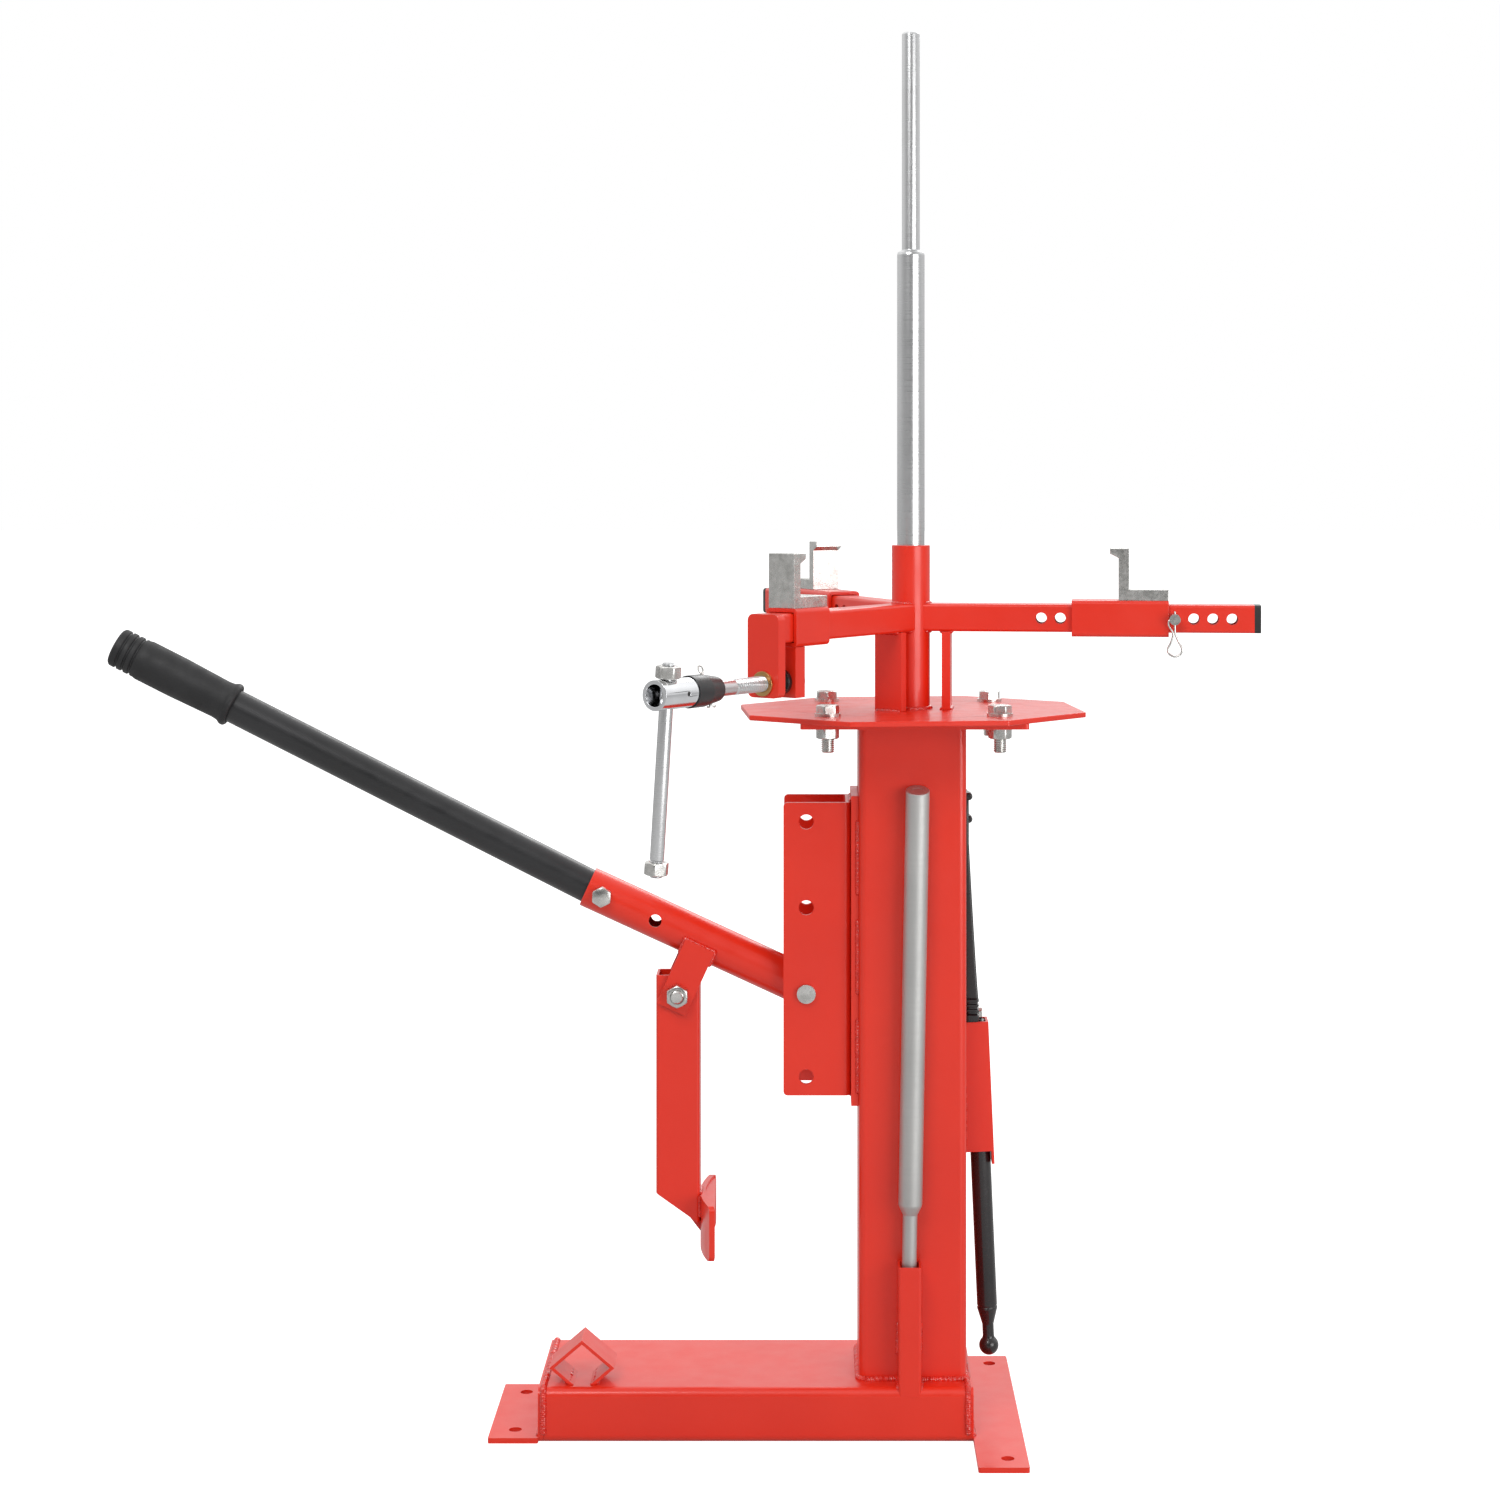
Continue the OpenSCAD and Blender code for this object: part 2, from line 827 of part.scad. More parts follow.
// Lift-out bars --------------------------------------------------------
module centre_post() {
  foot = table_top + 0.3;
  color(steel) {
    translate([0, 0, foot]) cylinder(r = 13, h = post_step - 4 - foot);
    translate([0, 0, post_step - 4]) cylinder(r1 = 13, r2 = 8.5, h = 4);
    translate([0, 0, post_step]) cylinder(r = 8.5, h = post_top - 1.5 - post_step);
    translate([0, 0, post_top - 1.5]) cylinder(r1 = 8.5, r2 = 7, h = 1.5);
  }
}

module spare_rod() {
  thin = 157;
  taper = 8;
  full = 548;
  end_slope = 17;
  color(steel) translate([rod_foot_x, rod_y, base_h + 0.5]) rotate([0, rod_lean, 0]) difference() {
    union() {
      cylinder(r = 6.75, h = thin);
      translate([0, 0, thin]) cylinder(r1 = 6.75, r2 = 11, h = taper);
      translate([0, 0, thin + taper]) cylinder(r = 11, h = full + 10 - thin - taper);
    }
    translate([0, 0, full]) rotate([end_slope, 0, 0]) translate([-20, -20, 0]) cube(40);
  }
}

module mount_bar() {
  ball_z = -307.3;
  color(black) on_tool() {
    translate([0, 0, ball_z]) sphere(9.2);
    translate([0, 0, ball_z + 5]) cylinder(r = 5.5, h = 17);
    translate([0, 0, ball_z + 22]) cylinder(r1 = 5.5, r2 = tool_r, h = 12);
    translate([0, 0, ball_z + 34]) cylinder(r = tool_r, h = -ball_z - 34);
  }
}

// A block that seats on the holder, then a tapering blade with a hooked bill
module mount_head() {
  left = 50.7;
  right = 63.8;
  tip = 54.4;
  seat = tool_z + 0.5;
  shoulder = 396;
  neck = 542;
  top = 589;
  color(black) {
    difference() {
      translate([left, -13, seat]) cube([right - left, 26, shoulder - seat]);
      translate([right - 4, 0, 380]) x_rod(2.5, 0, 10);
    }
    across_y(18) polygon([[left, shoulder], [right, shoulder], [tip, neck], [left, neck]]);
    translate([left, 0, 0]) rotate([90, 0, 90]) linear_extrude(tip - left)
      polygon([[-9, neck], [9, neck], [9, 565], [24, 578], [22, top], [-9, top]]);
    for (z = [564, 585.3]) translate([tip, 0, z]) y_rod(3.6, 16);
  }
}

module mount_head_screw() {
  color(zinc) translate([63.8, 0, 380]) {
    rotate([0, 90, 0]) hex(10, 3.4);
    x_rod(2.45, -3.8, 0.5);
  }
}

base_tube();
base_end_cap_left();
base_end_cap_right();
foot_plate_left();
foot_plate_right();
rim_rest();
column();
column_top_plate();
rod_holder();
tool_holder();
pivot_backing_plate();
pivot_bracket();
pivot_pin();
pivot_pin_clip();
table_plate();
table_bolts();
table_washers();
table_nuts();
post_socket();
beam_risers();
right_beam();
rear_beam();
screw_beam();
beam_plugs();
screw_bracket();
screw_nut();
index_pins();
index_pin_clips();
arm_sleeve();
pivot_bush();
clevis_plates();
handle_tube();
handle_grip();
handle_bolt();
handle_nut();
leg_bolt();
leg_nut();
leg_tube();
breaker_shoe();
shoe_gusset();
shoe_stiffener();
clamp_screw();
screw_hub();
thrust_collar();
collar_split_pin();
hub_roll_pin();
retaining_rings();
tommy_bar();
tommy_nuts();
jaw_carriage();
screw_jaw();
right_jaw_sleeve();
right_jaw();
rear_jaw_sleeve();
rear_jaw();
centre_post();
spare_rod();
mount_bar();
mount_head();
mount_head_screw();
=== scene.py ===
"""Looks of the stand-mounted bead breaker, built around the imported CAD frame."""
import json
import math
import random

import bmesh
import bpy
from mathutils import Matrix, Vector


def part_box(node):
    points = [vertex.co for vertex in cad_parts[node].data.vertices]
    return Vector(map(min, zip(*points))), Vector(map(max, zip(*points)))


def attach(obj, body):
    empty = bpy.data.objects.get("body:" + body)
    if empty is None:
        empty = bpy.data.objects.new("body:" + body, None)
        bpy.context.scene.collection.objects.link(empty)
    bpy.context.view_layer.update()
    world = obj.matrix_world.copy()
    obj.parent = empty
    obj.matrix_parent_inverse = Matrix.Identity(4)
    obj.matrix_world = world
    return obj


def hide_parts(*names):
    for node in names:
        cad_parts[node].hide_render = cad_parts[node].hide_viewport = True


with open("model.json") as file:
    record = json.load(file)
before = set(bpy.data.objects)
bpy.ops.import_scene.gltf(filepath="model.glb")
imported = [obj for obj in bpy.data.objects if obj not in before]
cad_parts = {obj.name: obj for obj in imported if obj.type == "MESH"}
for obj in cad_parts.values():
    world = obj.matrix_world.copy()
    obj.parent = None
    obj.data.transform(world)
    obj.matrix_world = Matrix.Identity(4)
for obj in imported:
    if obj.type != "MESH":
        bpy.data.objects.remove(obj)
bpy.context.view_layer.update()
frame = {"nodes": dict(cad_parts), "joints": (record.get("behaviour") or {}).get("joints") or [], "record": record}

MM = 0.001
RECORD = frame["record"]
BODIES = RECORD["behaviour"]["bodies"]
BODY_OF = {node: body for body, members in BODIES.items() for node in members}
SLOT_OF = {row["node"]: row["material_slot"] for row in RECORD["subparts"]}
JOINTS = {joint["name"]: joint for joint in frame["joints"]}
SMOOTH_ANGLE = math.radians(35)
NOISE_SPAN = (0.3, 0.7)  # where nearly all values of a noise texture lie
ON_AXIS = 1e-7           # a radius that closes a turned shape on its axis
REPLACED = set()         # the CAD nodes that a made piece stands for


# ---------------------------------------------------------------- camera, light and floor
def map_range(tree, source, taken, given):
    """The source's values, moved from the span taken to the span given and held inside it."""
    node = tree.nodes.new("ShaderNodeMapRange")
    for socket, value in zip(("From Min", "From Max", "To Min", "To Max"), (*taken, *given)):
        node.inputs[socket].default_value = value
    tree.links.new(source, node.inputs["Value"])
    return node.outputs["Result"]


def make_camera():
    """A level camera at the height of the table, a little left of the column."""
    data = bpy.data.cameras.new("camera")
    data.lens = 67.4
    data.sensor_width = 36
    data.shift_x = -0.0413
    data.shift_y = -0.198
    camera = bpy.data.objects.new("camera", data)
    camera.location = (-0.0934, -2.652, 0.909)
    camera.rotation_euler = (math.radians(90), 0, 0)
    bpy.context.scene.collection.objects.link(camera)
    bpy.context.scene.camera = camera


def area_light(name, place, aim, size, watts):
    """A soft square light at place that faces aim."""
    data = bpy.data.lights.new(name, "AREA")
    data.size = size
    data.energy = watts
    light = bpy.data.objects.new(name, data)
    light.location = place
    light.rotation_euler = (Vector(aim) - Vector(place)).to_track_quat("-Z", "Y").to_euler()
    bpy.context.scene.collection.objects.link(light)


def make_world():
    """A white backdrop to the eye, and soft studio light that is stronger from above and behind."""
    world = bpy.data.worlds.new("studio")
    world.use_nodes = True
    tree = world.node_tree
    background = tree.nodes["Background"]
    background.inputs["Color"].default_value = (1, 1, 1, 1)
    coordinates = tree.nodes.new("ShaderNodeTexCoord")
    split = tree.nodes.new("ShaderNodeSeparateXYZ")
    tree.links.new(coordinates.outputs["Generated"], split.inputs["Vector"])
    by_height = map_range(tree, split.outputs["Z"], (-0.4, 0.5), (0.15, 0.75))
    by_depth = map_range(tree, split.outputs["Y"], (-0.98, 0.2), (0.25, 1.5))
    light = tree.nodes.new("ShaderNodeMath")
    light.operation = "MULTIPLY"
    tree.links.new(by_height, light.inputs[0])
    tree.links.new(by_depth, light.inputs[1])
    path = tree.nodes.new("ShaderNodeLightPath")
    choose = tree.nodes.new("ShaderNodeMix")
    tree.links.new(path.outputs["Is Camera Ray"], choose.inputs["Factor"])
    tree.links.new(light.outputs["Value"], choose.inputs["A"])
    choose.inputs["B"].default_value = 1.0
    tree.links.new(choose.outputs["Result"], background.inputs["Strength"])
    bpy.context.scene.world = world


def make_light():
    """A key light from the left front, a low fill from the right and a light behind."""
    middle = (0, 0, 0.6)
    area_light("key", (-1.2, -2.7, 3.0), middle, 1.5, 50)
    area_light("fill", (2.2, -2.7, 0.7), (0, 0, 0.3), 2.2, 60)
    area_light("back", (0.8, 2.8, 2.6), middle, 1.6, 24)
    bpy.context.scene.view_settings.view_transform = "Standard"


def make_floor():
    """A floor that is white to the eye but grey to the object above it."""
    mesh = bpy.data.meshes.new("floor")
    half = 30
    corners = [(-half, -half, 0), (half, -half, 0), (half, half, 0), (-half, half, 0)]
    mesh.from_pydata(corners, [], [(0, 1, 2, 3)])
    floor = bpy.data.objects.new("floor", mesh)
    bpy.context.scene.collection.objects.link(floor)
    material = bpy.data.materials.new("floor")
    material.use_nodes = True
    shader = material.node_tree.nodes["Principled BSDF"]
    shader.inputs["Base Color"].default_value = (0.4, 0.4, 0.4, 1)
    shader.inputs["Roughness"].default_value = 0.9
    shader.inputs["Specular IOR Level"].default_value = 0.0
    shader.inputs["Emission Color"].default_value = (1, 1, 1, 1)
    path = material.node_tree.nodes.new("ShaderNodeLightPath")
    glow = map_range(material.node_tree, path.outputs["Is Camera Ray"], (0, 1), (0.12, 1.0))
    material.node_tree.links.new(glow, shader.inputs["Emission Strength"])
    mesh.materials.append(material)


# ---------------------------------------------------------------- materials
def shader_of(name, metallic, coat=0.0, coat_roughness=0.1):
    """A new material with its nodes, and its shader's constant sockets set."""
    material = bpy.data.materials.new(name)
    material.use_nodes = True
    shader = material.node_tree.nodes["Principled BSDF"]
    shader.inputs["Metallic"].default_value = metallic
    shader.inputs["Coat Weight"].default_value = coat
    shader.inputs["Coat Roughness"].default_value = coat_roughness
    return material, shader


def noise_factor(material, scale, detail, stretch=(1, 1, 1)):
    """A noise output in the object's own coordinates, stretched along its axes."""
    tree = material.node_tree
    coordinates = tree.nodes.new("ShaderNodeTexCoord")
    mapping = tree.nodes.new("ShaderNodeMapping")
    mapping.inputs["Scale"].default_value = stretch
    noise = tree.nodes.new("ShaderNodeTexNoise")
    noise.inputs["Scale"].default_value = scale
    noise.inputs["Detail"].default_value = detail
    tree.links.new(coordinates.outputs["Object"], mapping.inputs["Vector"])
    tree.links.new(mapping.outputs["Vector"], noise.inputs["Vector"])
    return noise.outputs["Fac"]


def vary_colour(material, shader, factor, low, high):
    """A base colour that runs from low to high with the noise."""
    ramp = material.node_tree.nodes.new("ShaderNodeValToRGB")
    for element, place, colour in zip(ramp.color_ramp.elements, NOISE_SPAN, (low, high)):
        element.position = place
        element.color = (*colour, 1)
    material.node_tree.links.new(factor, ramp.inputs["Fac"])
    material.node_tree.links.new(ramp.outputs["Color"], shader.inputs["Base Color"])


def vary_roughness(material, shader, factor, low, high):
    """A roughness that runs from low to high with the noise."""
    roughness = map_range(material.node_tree, factor, NOISE_SPAN, (low, high))
    material.node_tree.links.new(roughness, shader.inputs["Roughness"])


def add_bump(material, shader, factor, height):
    """Bumps of the given height in metres."""
    bump = material.node_tree.nodes.new("ShaderNodeBump")
    bump.inputs["Strength"].default_value = 1.0
    bump.inputs["Distance"].default_value = height
    material.node_tree.links.new(factor, bump.inputs["Height"])
    material.node_tree.links.new(bump.outputs["Normal"], shader.inputs["Normal"])


def red_paint():
    """Glossy powder coat: faint orange peel and slight shade changes."""
    material, shader = shader_of("red_paint", 0, coat=0.28, coat_roughness=0.07)
    vary_colour(material, shader, noise_factor(material, 6, 3), (0.74, 0.021, 0.005), (0.80, 0.026, 0.006))
    vary_roughness(material, shader, noise_factor(material, 45, 3), 0.30, 0.42)
    add_bump(material, shader, noise_factor(material, 420, 2), 0.00004)
    return material


def weld_paint():
    """The same coat over a weld: rougher and a little darker in the ripples."""
    material, shader = shader_of("weld_paint", 0, coat=0.6, coat_roughness=0.06)
    vary_colour(material, shader, noise_factor(material, 240, 3), (0.56, 0.012, 0.005), (0.78, 0.024, 0.010))
    vary_roughness(material, shader, noise_factor(material, 300, 2), 0.18, 0.34)
    add_bump(material, shader, noise_factor(material, 900, 2), 0.00012)
    return material


def black_paint():
    """Satin black coat of the handle tube and the collar."""
    material, shader = shader_of("black_paint", 0, coat=0.3, coat_roughness=0.22)
    vary_colour(material, shader, noise_factor(material, 9, 3), (0.010, 0.010, 0.011), (0.018, 0.018, 0.020))
    vary_roughness(material, shader, noise_factor(material, 60, 3), 0.34, 0.50)
    add_bump(material, shader, noise_factor(material, 700, 2), 0.00005)
    return material


def black_steel():
    """Glossy black coat of the mount bar and its head."""
    material, shader = shader_of("black_steel", 0, coat=0.5, coat_roughness=0.08)
    vary_colour(material, shader, noise_factor(material, 12, 3), (0.008, 0.007, 0.008), (0.016, 0.013, 0.014))
    vary_roughness(material, shader, noise_factor(material, 80, 3), 0.18, 0.34)
    add_bump(material, shader, noise_factor(material, 500, 2), 0.00005)
    return material


def grip_rubber():
    """Moulded rubber: matt, with a fine grain."""
    material, shader = shader_of("grip_rubber", 0)
    vary_colour(material, shader, noise_factor(material, 30, 4), (0.009, 0.009, 0.010), (0.019, 0.019, 0.020))
    vary_roughness(material, shader, noise_factor(material, 90, 3), 0.48, 0.66)
    add_bump(material, shader, noise_factor(material, 1600, 3), 0.0001)
    return material


def black_plastic():
    """The moulded plugs of the beams."""
    material, shader = shader_of("black_plastic", 0)
    vary_colour(material, shader, noise_factor(material, 25, 3), (0.012, 0.012, 0.012), (0.024, 0.023, 0.023))
    vary_roughness(material, shader, noise_factor(material, 120, 3), 0.38, 0.55)
    add_bump(material, shader, noise_factor(material, 1200, 3), 0.00008)
    return material


def zinc():
    """Bright zinc plate with faint mottling."""
    material, shader = shader_of("zinc", 1)
    vary_colour(material, shader, noise_factor(material, 120, 4), (0.56, 0.555, 0.53), (0.80, 0.79, 0.765))
    vary_roughness(material, shader, noise_factor(material, 260, 3), 0.20, 0.36)
    add_bump(material, shader, noise_factor(material, 900, 3), 0.00004)
    return material


def bright_steel():
    """Ground bar: fine rings round the bar and slow changes of tone."""
    material, shader = shader_of("bright_steel", 1)
    rings = noise_factor(material, 30, 4, stretch=(0.6, 0.6, 40))
    vary_colour(material, shader, noise_factor(material, 14, 3), (0.66, 0.665, 0.67), (0.74, 0.745, 0.75))
    vary_roughness(material, shader, rings, 0.26, 0.34)
    add_bump(material, shader, rings, 0.000002)
    return material


def satin_steel():
    """Brushed bar: duller and softer than the ground bars."""
    material, shader = shader_of("satin_steel", 1)
    vary_colour(material, shader, noise_factor(material, 12, 3), (0.52, 0.52, 0.51), (0.59, 0.59, 0.575))
    vary_roughness(material, shader, noise_factor(material, 30, 4, stretch=(0.6, 0.6, 12)), 0.52, 0.60)
    return material


def chrome():
    """Plated steel: nearly a mirror."""
    material, shader = shader_of("chrome", 1)
    vary_colour(material, shader, noise_factor(material, 40, 3), (0.80, 0.81, 0.83), (0.90, 0.91, 0.93))
    vary_roughness(material, shader, noise_factor(material, 90, 3), 0.05, 0.14)
    add_bump(material, shader, noise_factor(material, 200, 2), 0.00003)
    return material


def bronze():
    """Worn bronze of the fixed nut."""
    material, shader = shader_of("bronze", 1)
    vary_colour(material, shader, noise_factor(material, 60, 4), (0.50, 0.29, 0.11), (0.68, 0.43, 0.18))
    vary_roughness(material, shader, noise_factor(material, 120, 3), 0.26, 0.42)
    add_bump(material, shader, noise_factor(material, 400, 2), 0.00005)
    return material


MATERIALS = {
    make.__name__: make()
    for make in (red_paint, weld_paint, black_paint, black_steel, grip_rubber, black_plastic, zinc,
                 bright_steel, satin_steel, chrome, bronze)
}


# ---------------------------------------------------------------- places, read from the frame
def span(node, origin, axis):
    """How far the node reaches along the axis from the origin, as (low, high)."""
    reach = [(v.co - origin).dot(axis) for v in frame["nodes"][node].data.vertices]
    return min(reach), max(reach)


def centre(node):
    """The middle of the node's box."""
    low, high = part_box(node)
    return (low + high) / 2


def frame_along(origin, axis, side):
    """A matrix whose Z is the axis and whose X leans towards side."""
    z = Vector(axis).normalized()
    x = Vector(side) - z * z.dot(Vector(side))
    x.normalize()
    y = z.cross(x)
    return Matrix.Translation(Vector(origin)) @ Matrix((x, y, z)).transposed().to_4x4()


# ---------------------------------------------------------------- mesh tools
def clean(mesh):
    """Joins equal points, drops flat faces and turns every face outward."""
    bm = bmesh.new()
    bm.from_mesh(mesh)
    bmesh.ops.remove_doubles(bm, verts=bm.verts, dist=1e-6)
    bmesh.ops.dissolve_degenerate(bm, edges=bm.edges, dist=1e-7)
    bmesh.ops.recalc_face_normals(bm, faces=bm.faces)
    bm.to_mesh(mesh)
    bm.free()


def finish_piece(name, mesh, material, body):
    """Links a made mesh as a piece that rides on a body and wears the given material."""
    mesh.name = name
    clean(mesh)
    mesh.shade_smooth()
    mesh.set_sharp_from_angle(angle=SMOOTH_ANGLE)
    mesh.materials.append(MATERIALS[material])
    piece = bpy.data.objects.new(name, mesh)
    bpy.context.scene.collection.objects.link(piece)
    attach(piece, body)
    return piece


def stand_in(name, mesh, material, node):
    """Links a made mesh as the piece that stands for a CAD node."""
    piece = finish_piece(name, mesh, material, BODY_OF[node])
    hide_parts(node)
    REPLACED.add(node)


class Builder:
    """Collects points and faces from several shapes for one mesh."""

    def __init__(self):
        self.points = []
        self.faces = []

    def add(self, points, faces, place=Matrix.Identity(4)):
        """Adds points moved by place, and faces that index them."""
        start = len(self.points)
        self.points += [place @ Vector(p) for p in points]
        self.faces += [[start + i for i in face] for face in faces]

    def add_rings(self, rings, place=Matrix.Identity(4), closed=False, capped=True):
        """Joins equal rings of points by quads, and caps the first and last ring."""
        n = len(rings[0])
        points = [p for ring in rings for p in ring]
        pairs = list(zip(range(len(rings)), range(1, len(rings))))
        if closed:
            pairs.append((len(rings) - 1, 0))
        faces = [[a * n + i, a * n + (i + 1) % n, b * n + (i + 1) % n, b * n + i]
                 for a, b in pairs for i in range(n)]
        if capped and not closed:
            faces.append(list(range(n))[::-1])
            faces.append([(len(rings) - 1) * n + i for i in range(n)])
        self.add(points, faces, place)

    def mesh(self):
        """A new mesh of all that was added."""
        mesh = bpy.data.meshes.new("made")
        mesh.from_pydata(self.points, [], self.faces)
        return mesh


def circle_ring(radius, z, segments=48):
    """A ring of points, or of equal points where the radius is 0."""
    return [(radius * math.cos(t), radius * math.sin(t), z)
            for t in (2 * math.pi * i / segments for i in range(segments))]


def rounded(profile, radius, steps=4):
    """The profile with each inner corner replaced by a small curve."""
    result = [profile[0]]
    for before, corner, after in zip(profile, profile[1:], profile[2:]):
        b, c, a = Vector(before), Vector(corner), Vector(after)
        cut = min(radius, (c - b).length * 0.45, (a - c).length * 0.45)
        start = c + (b - c).normalized() * cut
        end = c + (a - c).normalized() * cut
        for i in range(steps + 1):
            t = i / steps
            p = start * (1 - t) ** 2 + c * 2 * t * (1 - t) + end * t ** 2
            result.append((p.x, p.y))
    return result + [profile[-1]]


def lathe(builder, profile, place, radius=0.0005, segments=48, closed=False):
    """Turns a profile of (radius, height) points about the Z of place."""
    if closed:
        smooth = profile
    else:
        smooth = rounded(profile, radius)
    rings = [circle_ring(max(r, ON_AXIS), z, segments) for r, z in smooth]
    builder.add_rings(rings, place, closed=closed, capped=False)


def hex_radius(flats, angle):
    """Radius of a hexagon at an angle, with its corners just broken."""
    turn = (angle + math.pi / 6) % (math.pi / 3) - math.pi / 6
    return min(flats / 2 / math.cos(math.pi / 6 - abs(turn)), flats / math.sqrt(3) * 0.985)


def hexagon(builder, flats, height, place, bore=0.0, both=False):
    """A hexagonal head or nut with chamfered corners on top, and below too if both."""
    segments = 72
    angles = [2 * math.pi * i / segments for i in range(segments)]
    face = flats * 0.48
    slope = math.tan(math.radians(30))
    depth = (flats / math.sqrt(3) - face) * slope
    tops = [depth * i / 5 for i in range(6)]

    def ring(z, inset):
        return [(r * math.cos(a), r * math.sin(a), z)
                for a in angles for r in [min(hex_radius(flats, a), face + inset / slope)]]

    rings = []
    if bore:
        rings.append(circle_ring(bore, height - bore * 0.12, segments))
        rings.append(circle_ring(bore * 1.12, height, segments))
    else:
        rings.append(circle_ring(ON_AXIS, height, segments))
    rings += [ring(height - t, t) for t in tops]
    if both:
        rings += [ring(t, t) for t in reversed(tops)]
    else:
        rings.append(ring(0, flats))
    if bore:
        rings.append(circle_ring(bore * 1.12, 0, segments))
        rings.append(circle_ring(bore, bore * 0.12, segments))
    else:
        rings.append(circle_ring(ON_AXIS, 0, segments))
    builder.add_rings(rings, place, closed=bool(bore), capped=False)


def thread(builder, radius, pitch, low, high, place, depth=0.6, rows=8):
    """A rod from low to high whose surface is a right-hand thread, chamfered at both ends."""
    segments = 40
    count = max(2, int((high - low) / pitch * rows))
    rings = [circle_ring(ON_AXIS, low, segments)]
    for k in range(count + 1):
        z = low + (high - low) * k / count
        ends = min(z - low, high - z)
        ring = []
        for i in range(segments):
            phase = (z / pitch - i / segments) % 1
            dip = min(1, max(0, 1.35 - abs(2 * phase - 1) * 2.2))
            r = min(radius - depth * pitch * dip, radius - depth * pitch + ends)
            t = 2 * math.pi * i / segments
            ring.append((r * math.cos(t), r * math.sin(t), z))
        rings.append(ring)
    rings.append(circle_ring(ON_AXIS, high, segments))
    builder.add_rings(rings, place, capped=False)


def swept_rings(path, radii, segments):
    """Rings of points along a path of Vectors; each ring's radius is given."""
    rings = []
    up = None
    for i, point in enumerate(path):
        ahead = (path[min(i + 1, len(path) - 1)] - path[max(i - 1, 0)]).normalized()
        if up is None:
            up = Vector((0, 0, 1)) if abs(ahead.z) < 0.9 else Vector((1, 0, 0))
        up = (up - ahead * up.dot(ahead)).normalized()
        side = ahead.cross(up)
        rings.append([point + (up * math.sin(t) + side * math.cos(t)) * radii[i]
                      for t in (2 * math.pi * k / segments for k in range(segments))])
    return rings


def smooth_path(points, step):
    """Points at equal steps along a Catmull-Rom curve through the given points."""
    last = len(points) - 1
    parts = 24
    dense = []
    for i in range(last):
        p = [Vector(points[max(0, min(last, i + k))]) for k in (-1, 0, 1, 2)]
        for k in range(parts):
            t = k / parts
            bend = 2 * p[0] - 5 * p[1] + 4 * p[2] - p[3]
            twist = 3 * p[1] - p[0] - 3 * p[2] + p[3]
            dense.append(0.5 * (2 * p[1] + (p[2] - p[0]) * t + bend * t ** 2 + twist * t ** 3))
    dense.append(Vector(points[-1]))
    return spaced(dense, step)


def spaced(points, step):
    """Points at equal steps along straight stretches."""
    points = [Vector(p) for p in points]
    lengths = [(b - a).length for a, b in zip(points, points[1:])]
    total = sum(lengths)
    count = max(2, round(total / step))
    result = []
    index = 0
    passed = 0.0
    for k in range(count + 1):
        goal = total * k / count
        while index < len(lengths) - 1 and passed + lengths[index] < goal:
            passed += lengths[index]
            index += 1
        t = (goal - passed) / max(lengths[index], 1e-12)
        result.append(points[index].lerp(points[index + 1], min(1, t)))
    return result


# ---------------------------------------------------------------- weld beads
WELDS = {}
RANDOM = random.Random(7)


def weld(body, points, size=3.2, closed=False):
    """Adds a rippled bead of about size mm in radius along the points to the body's welds."""
    ripple = 1.9 * MM
    step = 0.55 * MM
    unevenness = 0.05 * MM
    path = spaced(list(points) + ([points[0]] if closed else []), step)
    offset = RANDOM.random()
    radii = []
    wander = []
    travelled = 0.0
    previous = path[0]
    drift = 0.0
    for point in path:
        travelled += (point - previous).length
        previous = point
        phase = (travelled / ripple + offset) % 1
        drift += RANDOM.uniform(-0.02, 0.02)
        drift *= 0.97
        radii.append(size * MM * (0.86 + 0.16 * math.sin(math.pi * phase) + drift))
        wander.append(Vector([RANDOM.uniform(-1, 1) for _ in range(3)]) * unevenness)
    if not closed:
        for i, share in ((0, 0.4), (1, 0.7), (2, 0.88)):
            radii[i] *= share
            radii[-1 - i] *= share
    path = [p + w for p, w in zip(path, wander)]
    WELDS.setdefault(body, Builder()).add_rings(swept_rings(path, radii, 10))


def round_box_path(low, high, z, radius, steps=5):
    """A closed path round a box in plan, with round corners."""
    corners = ((high.x - radius, high.y - radius, 0), (low.x + radius, high.y - radius, 90),
               (low.x + radius, low.y + radius, 180), (high.x - radius, low.y + radius, 270))
    return [Vector((x + radius * math.cos(math.radians(start + 90 * k / steps)),
                    y + radius * math.sin(math.radians(start + 90 * k / steps)), z))
            for x, y, start in corners for k in range(steps + 1)]


def finish_welds():
    """One piece of weld beads for each body."""
    for body, builder in WELDS.items():
        name = "weld_beads_" + body
        finish_piece(name, builder.mesh(), "weld_paint", body)


# ---------------------------------------------------------------- CAD nodes that keep their shape
USUAL_EDGE = 0.45
EDGE_BREAK = {"column": 0.4, "base_tube": 0.5, "table_plate": 0.9, "column_top_plate": 0.7,
              "foot_plate_left": 0.9, "foot_plate_right": 0.9, "pivot_bracket": 0.8,
              "leg_tube": 0.4}  # widths in mm
LOOKS = {"thrust_collar": "black_paint"}  # nodes that look unlike their slot


